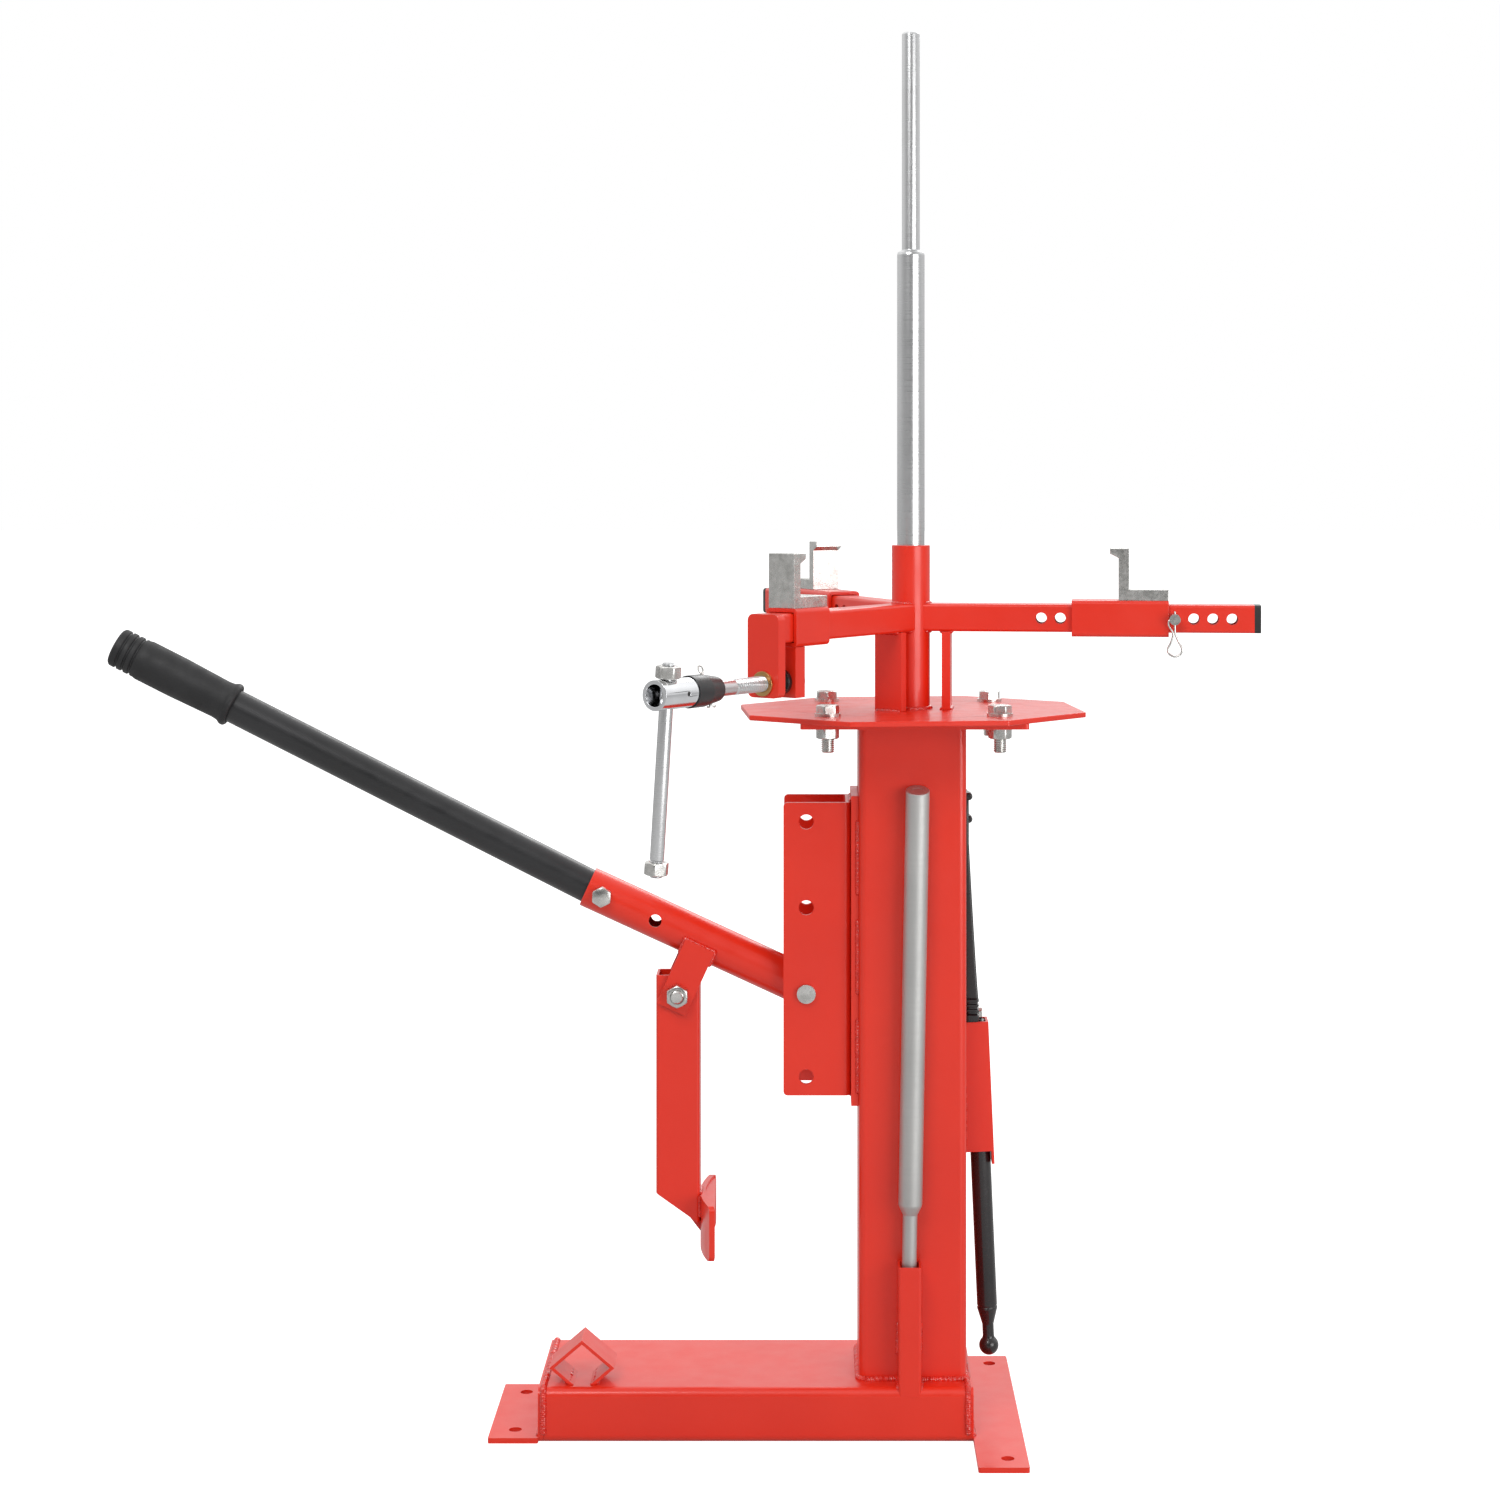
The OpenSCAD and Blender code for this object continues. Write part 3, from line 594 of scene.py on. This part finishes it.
def dress(node):
    """Gives a CAD node its material and softly broken edges."""
    material = LOOKS.get(node, SLOT_OF[node])
    piece = frame["nodes"][node]
    piece.data.materials.clear()
    piece.data.materials.append(MATERIALS[material])
    join = piece.modifiers.new("join", "WELD")
    join.merge_threshold = 0.005 * MM
    bevel = piece.modifiers.new("edges", "BEVEL")
    bevel.width = EDGE_BREAK.get(node, USUAL_EDGE) * MM
    bevel.segments = 2
    bevel.limit_method = "ANGLE"
    bevel.angle_limit = SMOOTH_ANGLE
    flatten = piece.modifiers.new("normals", "WEIGHTED_NORMAL")
    flatten.mode = "FACE_AREA"
    flatten.weight = 100
    piece.data.shade_smooth()


# ---------------------------------------------------------------- the arm's and clamp's own frames
PIVOT = Vector(JOINTS["arm_pivot"]["pos_m"])
LEG_PIVOT = Vector(JOINTS["leg_pivot"]["pos_m"])
ARM_BOLT = Vector((centre("handle_bolt").x, 0, centre("handle_bolt").z))
ARM_AXIS = (ARM_BOLT - PIVOT).normalized()
ARM_UP = Vector((-ARM_AXIS.z, 0, ARM_AXIS.x)) * (1 if ARM_AXIS.x > 0 else -1)
GRIP_MIDDLE = Vector((centre("handle_grip").x, 0, centre("handle_grip").z))
HANDLE_AXIS = (GRIP_MIDDLE - ARM_BOLT).normalized()
SCREW_ORIGIN = Vector(JOINTS["screw_turn"]["pos_m"])
SCREW_OUT = -Vector(JOINTS["screw_turn"]["axis"]).normalized()
BAR_AXIS = Vector(JOINTS["tommy_slide"]["axis"]).normalized()
TOOL_AXIS = Vector(JOINTS["mount_bar_lift"]["axis"]).normalized()
ROD_AXIS = Vector(JOINTS["spare_rod_lift"]["axis"]).normalized()
UP = Vector((0, 0, 1))
FRONT = Vector((0, -1, 0))
BACK = -FRONT
SCREW_SIDE = UP.cross(SCREW_OUT)
PINNED_OUT = [Vector(JOINTS[name]["axis"]).normalized() for name in ("right_jaw_slide", "rear_jaw_slide")]
BEAMS_OUT = PINNED_OUT + [SCREW_OUT]


# ---------------------------------------------------------------- fasteners
M12 = {"radius": 5.95 * MM, "flats": 19 * MM, "pitch": 1.75 * MM, "head": 7.5 * MM, "bore": 6 * MM}
M10 = {"radius": 4.95 * MM, "flats": 17 * MM, "pitch": 1.5 * MM, "head": 6.4 * MM, "bore": 5 * MM}


def bolt(builder, size, length, threaded, place):
    """A hexagon bolt whose head stands on Z=0 of place and whose shank runs down -Z."""
    hexagon(builder, size["flats"], size["head"], place)
    lathe(builder, [(ON_AXIS, 0), (size["radius"], 0), (size["radius"], -length + threaded),
                    (ON_AXIS, -length + threaded)], place, radius=1e-6, segments=40)
    thread(builder, size["radius"], size["pitch"], -length, -length + threaded, place)


def nut(builder, size, height, place):
    """A hexagon nut that stands on Z=0 of place."""
    hexagon(builder, size["flats"], height, place, bore=size["bore"], both=True)


def table_fasteners():
    """The four bolts of the table, with a washer and a nut below each, all turned differently."""
    low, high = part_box("table_bolts")
    seat_z = high.z - M12["head"]
    washer_low, washer_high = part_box("table_washers")
    nut_low, nut_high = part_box("table_nuts")
    middle = centre("table_bolts")
    reach_x = (high.x - low.x - M12["flats"] / math.cos(math.pi / 6)) / 2
    reach_y = (high.y - low.y - M12["flats"]) / 2
    thick = washer_high.z - washer_low.z
    inner = 6.5 * MM
    outer = (washer_high.x - washer_low.x) / 2 - reach_x
    ring = [(inner, 0), (outer, 0), (outer, thick), (inner, thick)]
    spots = [(middle.x + sx * reach_x, middle.y + sy * reach_y) for sx in (-1, 1) for sy in (-1, 1)]
    bolts, washers, nuts = Builder(), Builder(), Builder()
    for i, spot in enumerate(spots):
        turn = Matrix.Rotation(math.radians(11 + 23 * i), 4, "Z")
        bolt(bolts, M12, seat_z - low.z, 22 * MM, Matrix.Translation((*spot, seat_z)) @ turn)
        lathe(washers, ring, Matrix.Translation((*spot, washer_low.z)), closed=True)
        nut(nuts, M12, nut_high.z - nut_low.z, Matrix.Translation((*spot, nut_low.z)) @ turn)
    stand_in("table_bolt_set", bolts.mesh(), "zinc", "table_bolts")
    stand_in("table_washer_set", washers.mesh(), "zinc", "table_washers")
    stand_in("table_nut_set", nuts.mesh(), "zinc", "table_nuts")


def leg_fasteners():
    """The leg's bolt comes in from the back; its nut and end show at the front."""
    low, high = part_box("leg_bolt")
    nut_low, nut_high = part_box("leg_nut")
    seat = high.y - M12["head"]
    made = Builder()
    bolt(made, M12, seat - low.y, 20 * MM,
         frame_along((LEG_PIVOT.x, seat, LEG_PIVOT.z), BACK, (1, 0, 0.4)))
    stand_in("leg_bolt_made", made.mesh(), "zinc", "leg_bolt")
    made = Builder()
    nut(made, M12, nut_high.y - nut_low.y, frame_along((LEG_PIVOT.x, nut_high.y, LEG_PIVOT.z), FRONT, UP))
    stand_in("leg_nut_made", made.mesh(), "zinc", "leg_nut")


def handle_fasteners():
    """The handle's bolt has its head at the front."""
    low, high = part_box("handle_bolt")
    nut_low, nut_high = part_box("handle_nut")
    seat = low.y + M10["head"]
    made = Builder()
    bolt(made, M10, high.y - seat, 20 * MM,
         frame_along((ARM_BOLT.x, seat, ARM_BOLT.z), FRONT, (0.05, 0, 1)))
    stand_in("handle_bolt_made", made.mesh(), "zinc", "handle_bolt")
    made = Builder()
    nut(made, M10, nut_high.y - nut_low.y, frame_along((ARM_BOLT.x, nut_low.y, ARM_BOLT.z), BACK, UP))
    stand_in("handle_nut_made", made.mesh(), "zinc", "handle_nut")


# ---------------------------------------------------------------- arm pieces
def drilled(builder, holes):
    """The builder's mesh with round holes through it, each given as a middle and a radius, along Y."""
    reach = 30 * MM
    body = bpy.data.objects.new("body", builder.mesh())
    clean(body.data)
    tools = []
    for middle, radius in holes:
        made = Builder()
        lathe(made, [(ON_AXIS, -reach), (radius, -reach), (radius, reach), (ON_AXIS, reach)],
              frame_along(middle, BACK, UP), radius=1e-6, segments=64)
        tool = bpy.data.objects.new("tool", made.mesh())
        clean(tool.data)
        tools.append(tool)
    for each in [body] + tools:
        bpy.context.scene.collection.objects.link(each)
    for tool in tools:
        cut = body.modifiers.new("cut", "BOOLEAN")
        cut.operation = "DIFFERENCE"
        cut.solver = "EXACT"
        cut.object = tool
    bpy.context.view_layer.update()
    shape = bpy.data.meshes.new_from_object(body.evaluated_get(bpy.context.evaluated_depsgraph_get()))
    for each in [body] + tools:
        bpy.data.objects.remove(each)
    return shape


def tube_profile(outer, inner, low, high):
    """A closed profile of a tube with broken ends, in short lengths."""
    edge = 0.4 * MM
    step = 5 * MM
    count = max(1, round((high - low - 2 * edge) / step))
    along = [low + edge + (high - low - 2 * edge) * i / count for i in range(count + 1)]
    return ([(inner + edge, low), (outer - edge, low)] + [(outer, z) for z in along]
            + [(outer - edge, high), (inner + edge, high)] + [(inner, z) for z in reversed(along)])


def arm_tubes():
    """The lever's sleeve and the handle tube that is bolted into it."""
    bolt_hole = (ARM_BOLT, 5.1 * MM)
    sleeve_holes = [(PIVOT, 18 * MM), bolt_hole, (PIVOT + ARM_AXIS * 156 * MM, 6 * MM)]
    made = Builder()
    lathe(made, tube_profile(19 * MM, 17 * MM, *span("arm_sleeve", PIVOT, ARM_AXIS)),
          frame_along(PIVOT, ARM_AXIS, BACK), segments=96, closed=True)
    stand_in("arm_sleeve_drilled", drilled(made, sleeve_holes), "red_paint", "arm_sleeve")
    made = Builder()
    lathe(made, tube_profile(16 * MM, 13.5 * MM, *span("handle_tube", ARM_BOLT, HANDLE_AXIS)),
          frame_along(ARM_BOLT, HANDLE_AXIS, BACK), segments=96, closed=True)
    stand_in("handle_tube_drilled", drilled(made, [bolt_hole]), "black_paint", "handle_tube")


def grip():
    """The moulded grip: flange, slim waist, swelling body and three grooves at its end."""
    low, high = span("handle_grip", ARM_BOLT, HANDLE_AXIS)
    place = frame_along(ARM_BOLT, HANDLE_AXIS, BACK)
    r = 19.5 * MM
    bore = 16.05 * MM
    flange = 21 * MM
    profile = [(bore, low + 1 * MM), (bore + 1.2 * MM, low), (flange - 1.5 * MM, low),
               (flange, low + 2 * MM), (flange, low + 5 * MM), (r - 0.6 * MM, low + 8.5 * MM),
               (r - 1.2 * MM, low + 14 * MM), (r, low + 60 * MM), (r, high - 30 * MM),
               (r - 0.8 * MM, high - 27 * MM)]
    for i in range(3):
        start = high - 24.2 * MM + 7 * MM * i
        profile += [(r - 0.7 * MM, start), (r - 2.4 * MM, start + 0.5 * MM),
                    (r - 2.4 * MM, start + 2.2 * MM), (r - 0.7 * MM, start + 2.8 * MM)]
    profile += [(r - 0.9 * MM, high - 2.4 * MM), (r - 3 * MM, high - 0.3 * MM), (r - 7 * MM, high),
                (6 * MM, high - 0.2 * MM), (5 * MM, high - 1.2 * MM), (ON_AXIS, high - 1.4 * MM)]
    made = Builder()
    lathe(made, profile, place, radius=0.9 * MM, segments=72)
    lathe(made, [(bore, low + 1 * MM), (bore, high - 8 * MM), (ON_AXIS, high - 8 * MM)], place, segments=72)
    stand_in("handle_grip_moulded", made.mesh(), "grip_rubber", "handle_grip")


# ---------------------------------------------------------------- bars and posts
FAR_END = -0.0001  # a height in a turned profile: below 0 it is measured from the far end


def turned(name, node, origin, axis, profile, material, end_slope=0.0):
    """A turned piece from (radius, height) in mm; its far end may slope up towards the back."""
    low, high = span(node, origin, axis)
    made = Builder()
    points = [(r * MM, (low if z >= 0 else high) + z * MM) for r, z in profile]
    lathe(made, points, Matrix.Identity(4), segments=56)
    rise = math.tan(math.radians(end_slope))
    sloped = high - 8 * MM
    place = frame_along(origin, axis, BACK)
    made.points = [place @ Vector((p.x, p.y, p.z + (p.x * rise if p.z > sloped else 0)))
                   for p in made.points]
    stand_in(name, made.mesh(), material, node)


def posts():
    """The stepped centre post, and the spare rod that stands in its holder."""
    origin = Vector((0, 0, 0))
    shoulder = 1.1
    step = (shoulder - span("centre_post", origin, UP)[0]) / MM
    turned("centre_post_turned", "centre_post", origin, UP,
           [(0, 0), (12.2, 0), (13, 1), (13, step - 4), (12.2, step - 1.6), (8.9, step),
            (8.5, step + 0.6), (8.5, -1.6), (7, FAR_END), (0, FAR_END)], "bright_steel")
    rod_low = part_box("spare_rod")[0]
    thin = 6.75
    foot = Vector((rod_low.x + thin * MM, centre("rod_holder").y, rod_low.z))
    turned("spare_rod_turned", "spare_rod", foot, ROD_AXIS,
           [(0, 0), (6, 0), (thin, 0.8), (thin, 156.5), (8, 158.8), (10.4, 164), (11, 166), (11, -9),
            (11, -3.8), (10.2, -3.4), (5.4, -3.4), (4.6, -4.2), (0, -4.4)], "satin_steel", end_slope=17)


def mount_bar():
    """The ball-ended bar of the mount tool, hung in the holder."""
    points = [v.co for v in frame["nodes"]["mount_bar"].data.vertices]
    peak = max(p.z for p in points)
    ring = [p for p in points if p.z > peak - 1.5 * MM]
    origin = sum(ring, Vector((0, 0, 0))) / len(ring)
    ball = 9.2
    profile = [(0, 0)]
    for k in range(1, 15):
        angle = math.radians(-90 + 10 * k)
        profile.append((ball * math.cos(angle), ball + ball * math.sin(angle)))
    profile += [(5.4, ball + 9), (5.4, ball + 20), (5.8, ball + 21.5), (9.0, ball + 33.4),
                (9.5, ball + 35), (9.5, ball + 36.5), (9.1, ball + 37), (9.1, ball + 38),
                (9.5, ball + 38.5), (9.5, -0.6), (8.9, FAR_END), (0, FAR_END)]
    turned("mount_bar_turned", "mount_bar", origin, TOOL_AXIS, profile, "black_steel")


def rounded_section(x0, x1, y0, y1, z, radius):
    """A ring of points round a rectangle in plan with round corners."""
    low, high = Vector((x0, y0, 0)), Vector((x1, y1, 0))
    radius = min(radius, (x1 - x0) * 0.48, (y1 - y0) * 0.48)
    return round_box_path(low, high, z, radius, steps=4)


def mount_head():
    """The cast head: ribbed seat, tapering blade and a hooked bill with two knobs."""
    low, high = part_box("mount_head")
    left, right, seat, top = low.x / MM, high.x / MM, low.z / MM, high.z / MM
    tip = left + 3.7
    shoulder = seat + 21.5
    neck = seat + 167.5
    sections = [(seat, 0.8, 13), (seat + 0.8, 0.1, 13), (seat + 5.6, 0.1, 13), (seat + 6.4, 0.8, 12)]
    for k in range(3):
        base = seat + 7.2 + 4.6 * k
        sections += [(base, 1.3, 11), (base + 1.4, 1.3, 11), (base + 2.0, 0.1, 12), (base + 3.8, 0.1, 12)]
    rings = [rounded_section((left + inset) * MM, (right - inset) * MM, -half * MM, half * MM, z * MM,
                             2.2 * MM) for z, inset, half in sections]
    for k in range(13):
        t = k / 12
        z = shoulder + (neck - shoulder) * t
        outer = right - 0.5 + (tip - right + 0.5) * t ** 0.9
        half = 9.5 - 1.0 * math.sin(math.pi * t)
        rings.append(rounded_section(left * MM, outer * MM, -half * MM, half * MM, z * MM, 1.8 * MM))
    for k in range(1, 15):
        t = k / 14
        z = neck + (top - 0.2 - neck) * t
        lean = max(0, t - 0.45) / 0.55
        back = 9.5 + 13 * math.sin(math.pi / 2 * lean) ** 1.5
        front = 9.5 - 14 * max(0, t - 0.7)
        rings.append(rounded_section(left * MM, tip * MM, -front * MM, back * MM, z * MM, 1.5 * MM))
    made = Builder()
    made.add_rings(rings)
    for z in (seat + 189.5, seat + 210.9):
        place = frame_along((tip * MM - 0.1 * MM, -8 * MM, z * MM), BACK, (1, 0, 0))
        lathe(made, [(ON_AXIS, 0), (2.6 * MM, 0), (3.6 * MM, 1.2 * MM), (3.6 * MM, 14.8 * MM),
                     (2.6 * MM, 16 * MM), (ON_AXIS, 16 * MM)], place, segments=28)
    stand_in("mount_head_cast", made.mesh(), "black_steel", "mount_head")


def mount_head_screw():
    """The small screw that holds the head on its bar."""
    head = 3.4 * MM
    middle = centre("mount_head_screw")
    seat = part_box("mount_head_screw")[1].x - head
    place = frame_along((seat, middle.y, middle.z), (1, 0, 0), UP)
    made = Builder()
    hexagon(made, 10 * MM, head, place)
    thread(made, 2.45 * MM, 1.0 * MM, -3.6 * MM, 0, place)
    stand_in("mount_head_screw_made", made.mesh(), "zinc", "mount_head_screw")


# ---------------------------------------------------------------- clamp pieces
def clamp_screw():
    """The lead screw: spigot in the hub and collar, a plain neck, the thread, and a journal in the lug."""
    low, high = span("clamp_screw", SCREW_ORIGIN, SCREW_OUT)
    place = frame_along(SCREW_ORIGIN, SCREW_OUT, UP)
    collar = span("thrust_collar", SCREW_ORIGIN, SCREW_OUT)[0]
    lug = span("retaining_rings", SCREW_ORIGIN, SCREW_OUT)[1] + 2 * MM
    neck = collar - 24 * MM
    r = 7 * MM
    spigot = 9.5 * MM
    pitch = 3 * MM
    made = Builder()
    lathe(made, [(ON_AXIS, low), (r - 1 * MM, low), (r, low + 1 * MM), (r, lug), (ON_AXIS, lug)], place)
    thread(made, r, pitch, lug, neck, place, depth=0.4, rows=10)
    lathe(made, [(ON_AXIS, neck), (r - 1.1 * MM, neck), (r, neck + 1.1 * MM), (r, collar), (spigot, collar),
                 (spigot, high - 1 * MM), (spigot - 1 * MM, high), (ON_AXIS, high)], place)
    stand_in("clamp_screw_threaded", made.mesh(), "bright_steel", "clamp_screw")


def tommy():
    """The sliding bar with a nut run on to each threaded end."""
    origin = centre("tommy_bar")
    low, high = span("tommy_bar", origin, BAR_AXIS)
    place = frame_along(origin, BAR_AXIS, SCREW_OUT)
    threaded = 15 * MM
    plain = (low + threaded, high - threaded)
    made = Builder()
    thread(made, M12["radius"], M12["pitch"], low, plain[0], place)
    lathe(made, [(ON_AXIS, plain[0]), (6 * MM, plain[0]), (6 * MM, plain[1]), (ON_AXIS, plain[1])], place,
          radius=1e-5)
    thread(made, M12["radius"], M12["pitch"], plain[1], high, place)
    stand_in("tommy_bar_threaded", made.mesh(), "bright_steel", "tommy_bar")
    nut_low, nut_high = span("tommy_nuts", origin, BAR_AXIS)
    height = 10.8 * MM
    made = Builder()
    for z, turn in ((nut_low, 0.5), (nut_high - height, 0.1)):
        seat = place @ Matrix.Translation((0, 0, z)) @ Matrix.Rotation(turn, 4, "Z")
        hexagon(made, M12["flats"], height, seat, bore=5.9 * MM, both=True)
    stand_in("tommy_nut_pair", made.mesh(), "zinc", "tommy_nuts")


def clip_path(top, side, leg, drop, width):
    """Points of an R-clip that hangs from top: a leg, a tear-shaped loop, and a return leg."""
    shape = [(0, 0.4), (0, 4), (0, leg * 0.6), (0.3, leg), (width * 0.5, leg + drop * 0.35),
             (width, leg + drop * 0.68), (width * 0.74, leg + drop * 0.9), (0, leg + drop),
             (-width * 0.74, leg + drop * 0.9), (-width, leg + drop * 0.68),
             (-width * 0.5, leg + drop * 0.35), (-1.9, leg), (-6.0, leg - 8), (-4.9, leg - 13)]
    return [top + side * x * MM - UP * z * MM for x, z in shape]


def spring_clips(name, node, outs, leg, drop, width, radius):
    """A clip of bent wire towards each of the directions outs, hung where the node's stem is highest."""
    made = Builder()
    for out in outs:
        points = [v.co for v in frame["nodes"][node].data.vertices if v.co.dot(out) > 0]
        peak = max(points, key=lambda p: p.z).z
        stem = [p for p in points if p.z > peak - 1 * MM]
        top = sum(stem, Vector((0, 0, 0))) / len(stem)
        top.z = peak
        path = smooth_path(clip_path(top, out, leg, drop, width), 0.8 * MM)
        radii = [radius] * len(path)
        radii[0] = radii[-1] = radius * 0.45
        made.add_rings(swept_rings(path, radii, 12))
    stand_in(name, made.mesh(), "zinc", node)


def split_pin():
    """The collar's split pin: an eye at one end, two legs bent apart at the other."""
    middle = centre("collar_split_pin")
    points = [v.co - middle for v in frame["nodes"]["collar_split_pin"].data.vertices]
    axis = max(points, key=lambda p: p.length).normalized()
    axis = (axis - SCREW_OUT * axis.dot(SCREW_OUT)).normalized()
    axis = axis if axis.dot(FRONT) > 0 else -axis
    reach = max(p.dot(axis) for p in points)
    wire = 0.78 * MM
    made = Builder()
    for side in (-1, 1):
        shape = ((0.2, -0.97), (2.4, -0.93), (2.9, -0.80), (1.6, -0.66), (0.75, -0.54), (0.75, 0.62),
                 (1.1, 0.74), (3.4, 0.86), (5.4, 0.83))
        route = [middle + axis * z * reach + SCREW_OUT * x * side * MM for x, z in shape]
        path = smooth_path(route, 0.6 * MM)
        made.add_rings(swept_rings(path, [wire] * len(path), 10))
    stand_in("collar_split_pin_bent", made.mesh(), "zinc", "collar_split_pin")


# ---------------------------------------------------------------- where the welds run
def column_welds():
    """Round the column's foot, and under its top plate but for where the spare rod passes."""
    low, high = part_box("column")
    corner = 7 * MM
    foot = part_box("base_tube")[1].z + 0.6 * MM
    weld("stand", round_box_path(low, high, foot, corner), 3.4, closed=True)
    steps = 5
    under_plate = round_box_path(low, high, high.z - 0.6 * MM, corner, steps)
    front = 3 * (steps + 1)
    rod_low, rod_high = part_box("spare_rod")
    rod_left, rod_right = (Vector((x, low.y, under_plate[0].z))
                           for x in (rod_low.x - 3 * MM, rod_high.x + 3 * MM))
    weld("stand", [rod_right] + under_plate[front:] + under_plate[:front] + [rod_left], 2.6)


def base_welds():
    """Over the end caps, along the foot plates and beside the rim rest."""
    base_low, base_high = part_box("base_tube")
    for cap in ("base_end_cap_left", "base_end_cap_right"):
        low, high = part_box(cap)
        x = high.x if cap.endswith("left") else low.x
        corner = 8 * MM
        cut = 2.3 * MM
        weld("stand", [(x, low.y, low.z + corner), (x, low.y, high.z - corner),
                       (x, low.y + cut, high.z - cut), (x, low.y + corner, high.z),
                       (x, high.y - corner, high.z), (x, high.y - cut, high.z - cut),
                       (x, high.y, high.z - corner), (x, high.y, low.z + corner)], 3.1)
    low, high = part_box("foot_plate_left")
    weld("stand", [(high.x, low.y + 6 * MM, high.z), (high.x, high.y - 6 * MM, high.z)], 2.8)
    low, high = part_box("foot_plate_right")
    weld("stand", [(low.x, base_low.y + 4 * MM, high.z), (low.x, base_high.y - 4 * MM, high.z)], 2.8)
    low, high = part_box("rim_rest")
    z = base_high.z + 0.8 * MM
    for side in (-1, 1):
        x = (low.x + high.x) / 2 + side * 12.8 * MM
        weld("stand", [(x, low.y + 2 * MM, z), (x, high.y - 2 * MM, z)], 3.2)


def holder_welds():
    """Beside the spare rod's holder and the mount tool's holder."""
    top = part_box("base_tube")[1].z
    column_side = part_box("column")[1].x + 0.4 * MM
    low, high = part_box("rod_holder")
    for x in (low.x, high.x):
        weld("stand", [(x, high.y - 0.5 * MM, top + 24 * MM), (x, high.y - 0.5 * MM, top + 54 * MM)], 2.2)
        weld("stand", [(x, low.y + 3 * MM, top - 4 * MM), (x, low.y + 7 * MM, top),
                       (x, high.y - 3 * MM, top + 0.3 * MM)], 2.2)
    low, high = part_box("tool_holder")
    for y in (low.y, high.y):
        weld("stand", [(column_side, y, low.z + 16 * MM), (column_side, y, low.z + 74 * MM)], 2.1)


def bracket_welds():
    """Stitches beside the backing plate, and above and below the bracket."""
    stitch = 70 * MM
    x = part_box("column")[0].x - 0.6 * MM
    plate_low, plate_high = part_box("pivot_backing_plate")
    for y in (plate_low.y, plate_high.y):
        for share in (0.04, 0.36, 0.68):
            z = plate_low.z + (plate_high.z - plate_low.z) * share
            weld("stand", [(x, y, z), (x, y, z + stitch)], 2.6)
    low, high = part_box("pivot_bracket")
    for z in (low.z, high.z):
        weld("stand", [(plate_low.x, low.y + 7 * MM, z), (plate_low.x, high.y - 7 * MM, z)], 2.4)


def clamp_welds():
    """Round the post's socket, at the risers, and where each beam and the bracket meet their support."""
    socket_low, socket_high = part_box("post_socket")
    radius = (socket_high.x - socket_low.x) / 2
    weld("stand", circle_ring(radius, socket_low.z + 0.5 * MM, 60), 2.8, closed=True)
    riser_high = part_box("beam_risers")[1].z
    beam_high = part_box("right_beam")[1].z
    half = 13 * MM
    riser_half = 15 * MM
    to_corner = min(v.co.xy.length for v in frame["nodes"]["beam_risers"].data.vertices)
    riser_near = math.sqrt(to_corner ** 2 - riser_half ** 2)
    for out in BEAMS_OUT:
        side = UP.cross(out)
        for x in (riser_near, riser_near + 8 * MM):
            for z, reach in ((socket_low.z, 14 * MM), (riser_high, 11.5 * MM)):
                weld("stand", [out * x - side * reach + UP * z, out * x + side * reach + UP * z], 2.3)
        for z in (riser_high, beam_high):
            turns = [math.asin(half * 0.86 / radius) * k / 8 for k in range(-8, 9)]
            weld("stand", [(out * math.cos(t) + side * math.sin(t)) * radius + UP * z for t in turns], 2.2)
    face = SCREW_OUT * span("screw_bracket", Vector((0, 0, 0)), SCREW_OUT)[0]
    reach = SCREW_SIDE * 11 * MM
    for z in (riser_high, beam_high - 3 * MM):
        weld("stand", [face - reach + UP * z, face + reach + UP * z], 2.2)
    for side in (-1, 1):
        edge = face + SCREW_SIDE * half * side
        weld("stand", [edge + UP * (riser_high + 3 * MM), edge + UP * (beam_high - 4 * MM)], 2.2)


def arm_welds():
    """Over the upper ends of the clevis plates and beside the cross bush."""
    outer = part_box("clevis_plates")[1].y
    near, far = span("clevis_plates", PIVOT, ARM_AXIS)
    top = span("clevis_plates", PIVOT, ARM_UP)[1]
    below = top - 15 * MM
    for y in (-outer, outer):
        weld("arm", [PIVOT + ARM_AXIS * s + ARM_UP * h + BACK * y * 0.86
                     for s, h in ((near, below), (near, top), (far, top), (far, below))], 2.4)
    for side in (-1, 1):
        start = PIVOT + ARM_AXIS * (5.5 * MM) + ARM_UP * (17.6 * MM * side)
        weld("arm", [start + BACK * y * MM for y in range(-8, 9, 2)], 2.0)


def leg_welds():
    """Down both sides of the shoe's seat on the leg, and across its top."""
    low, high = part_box("leg_tube")
    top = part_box("breaker_shoe")[1].z
    x = high.x + 0.2 * MM
    for y in (low.y, high.y):
        weld("leg", [(x, y * 0.9, low.z + 6 * MM), (x, y * 0.9, top - 1 * MM)], 2.3)
    weld("leg", [(x, low.y + 4 * MM, top), (x, high.y - 4 * MM, top)], 2.2)


# ---------------------------------------------------------------- the scene
make_camera()
make_world()
make_light()
make_floor()

table_fasteners()
leg_fasteners()
handle_fasteners()
arm_tubes()
grip()
posts()
mount_bar()
mount_head()
mount_head_screw()
clamp_screw()
tommy()
spring_clips("index_pin_clips_bent", "index_pin_clips", PINNED_OUT, 21, 21.5, 6.6, 1.0 * MM)
spring_clips("pivot_pin_clip_bent", "pivot_pin_clip", [Vector((-1, 0, 0))], 15, 17.5, 7, 1.15 * MM)
split_pin()
for each_node in frame["nodes"]:
    if each_node not in REPLACED:
        dress(each_node)

column_welds()
base_welds()
holder_welds()
bracket_welds()
clamp_welds()
arm_welds()
leg_welds()
finish_welds()
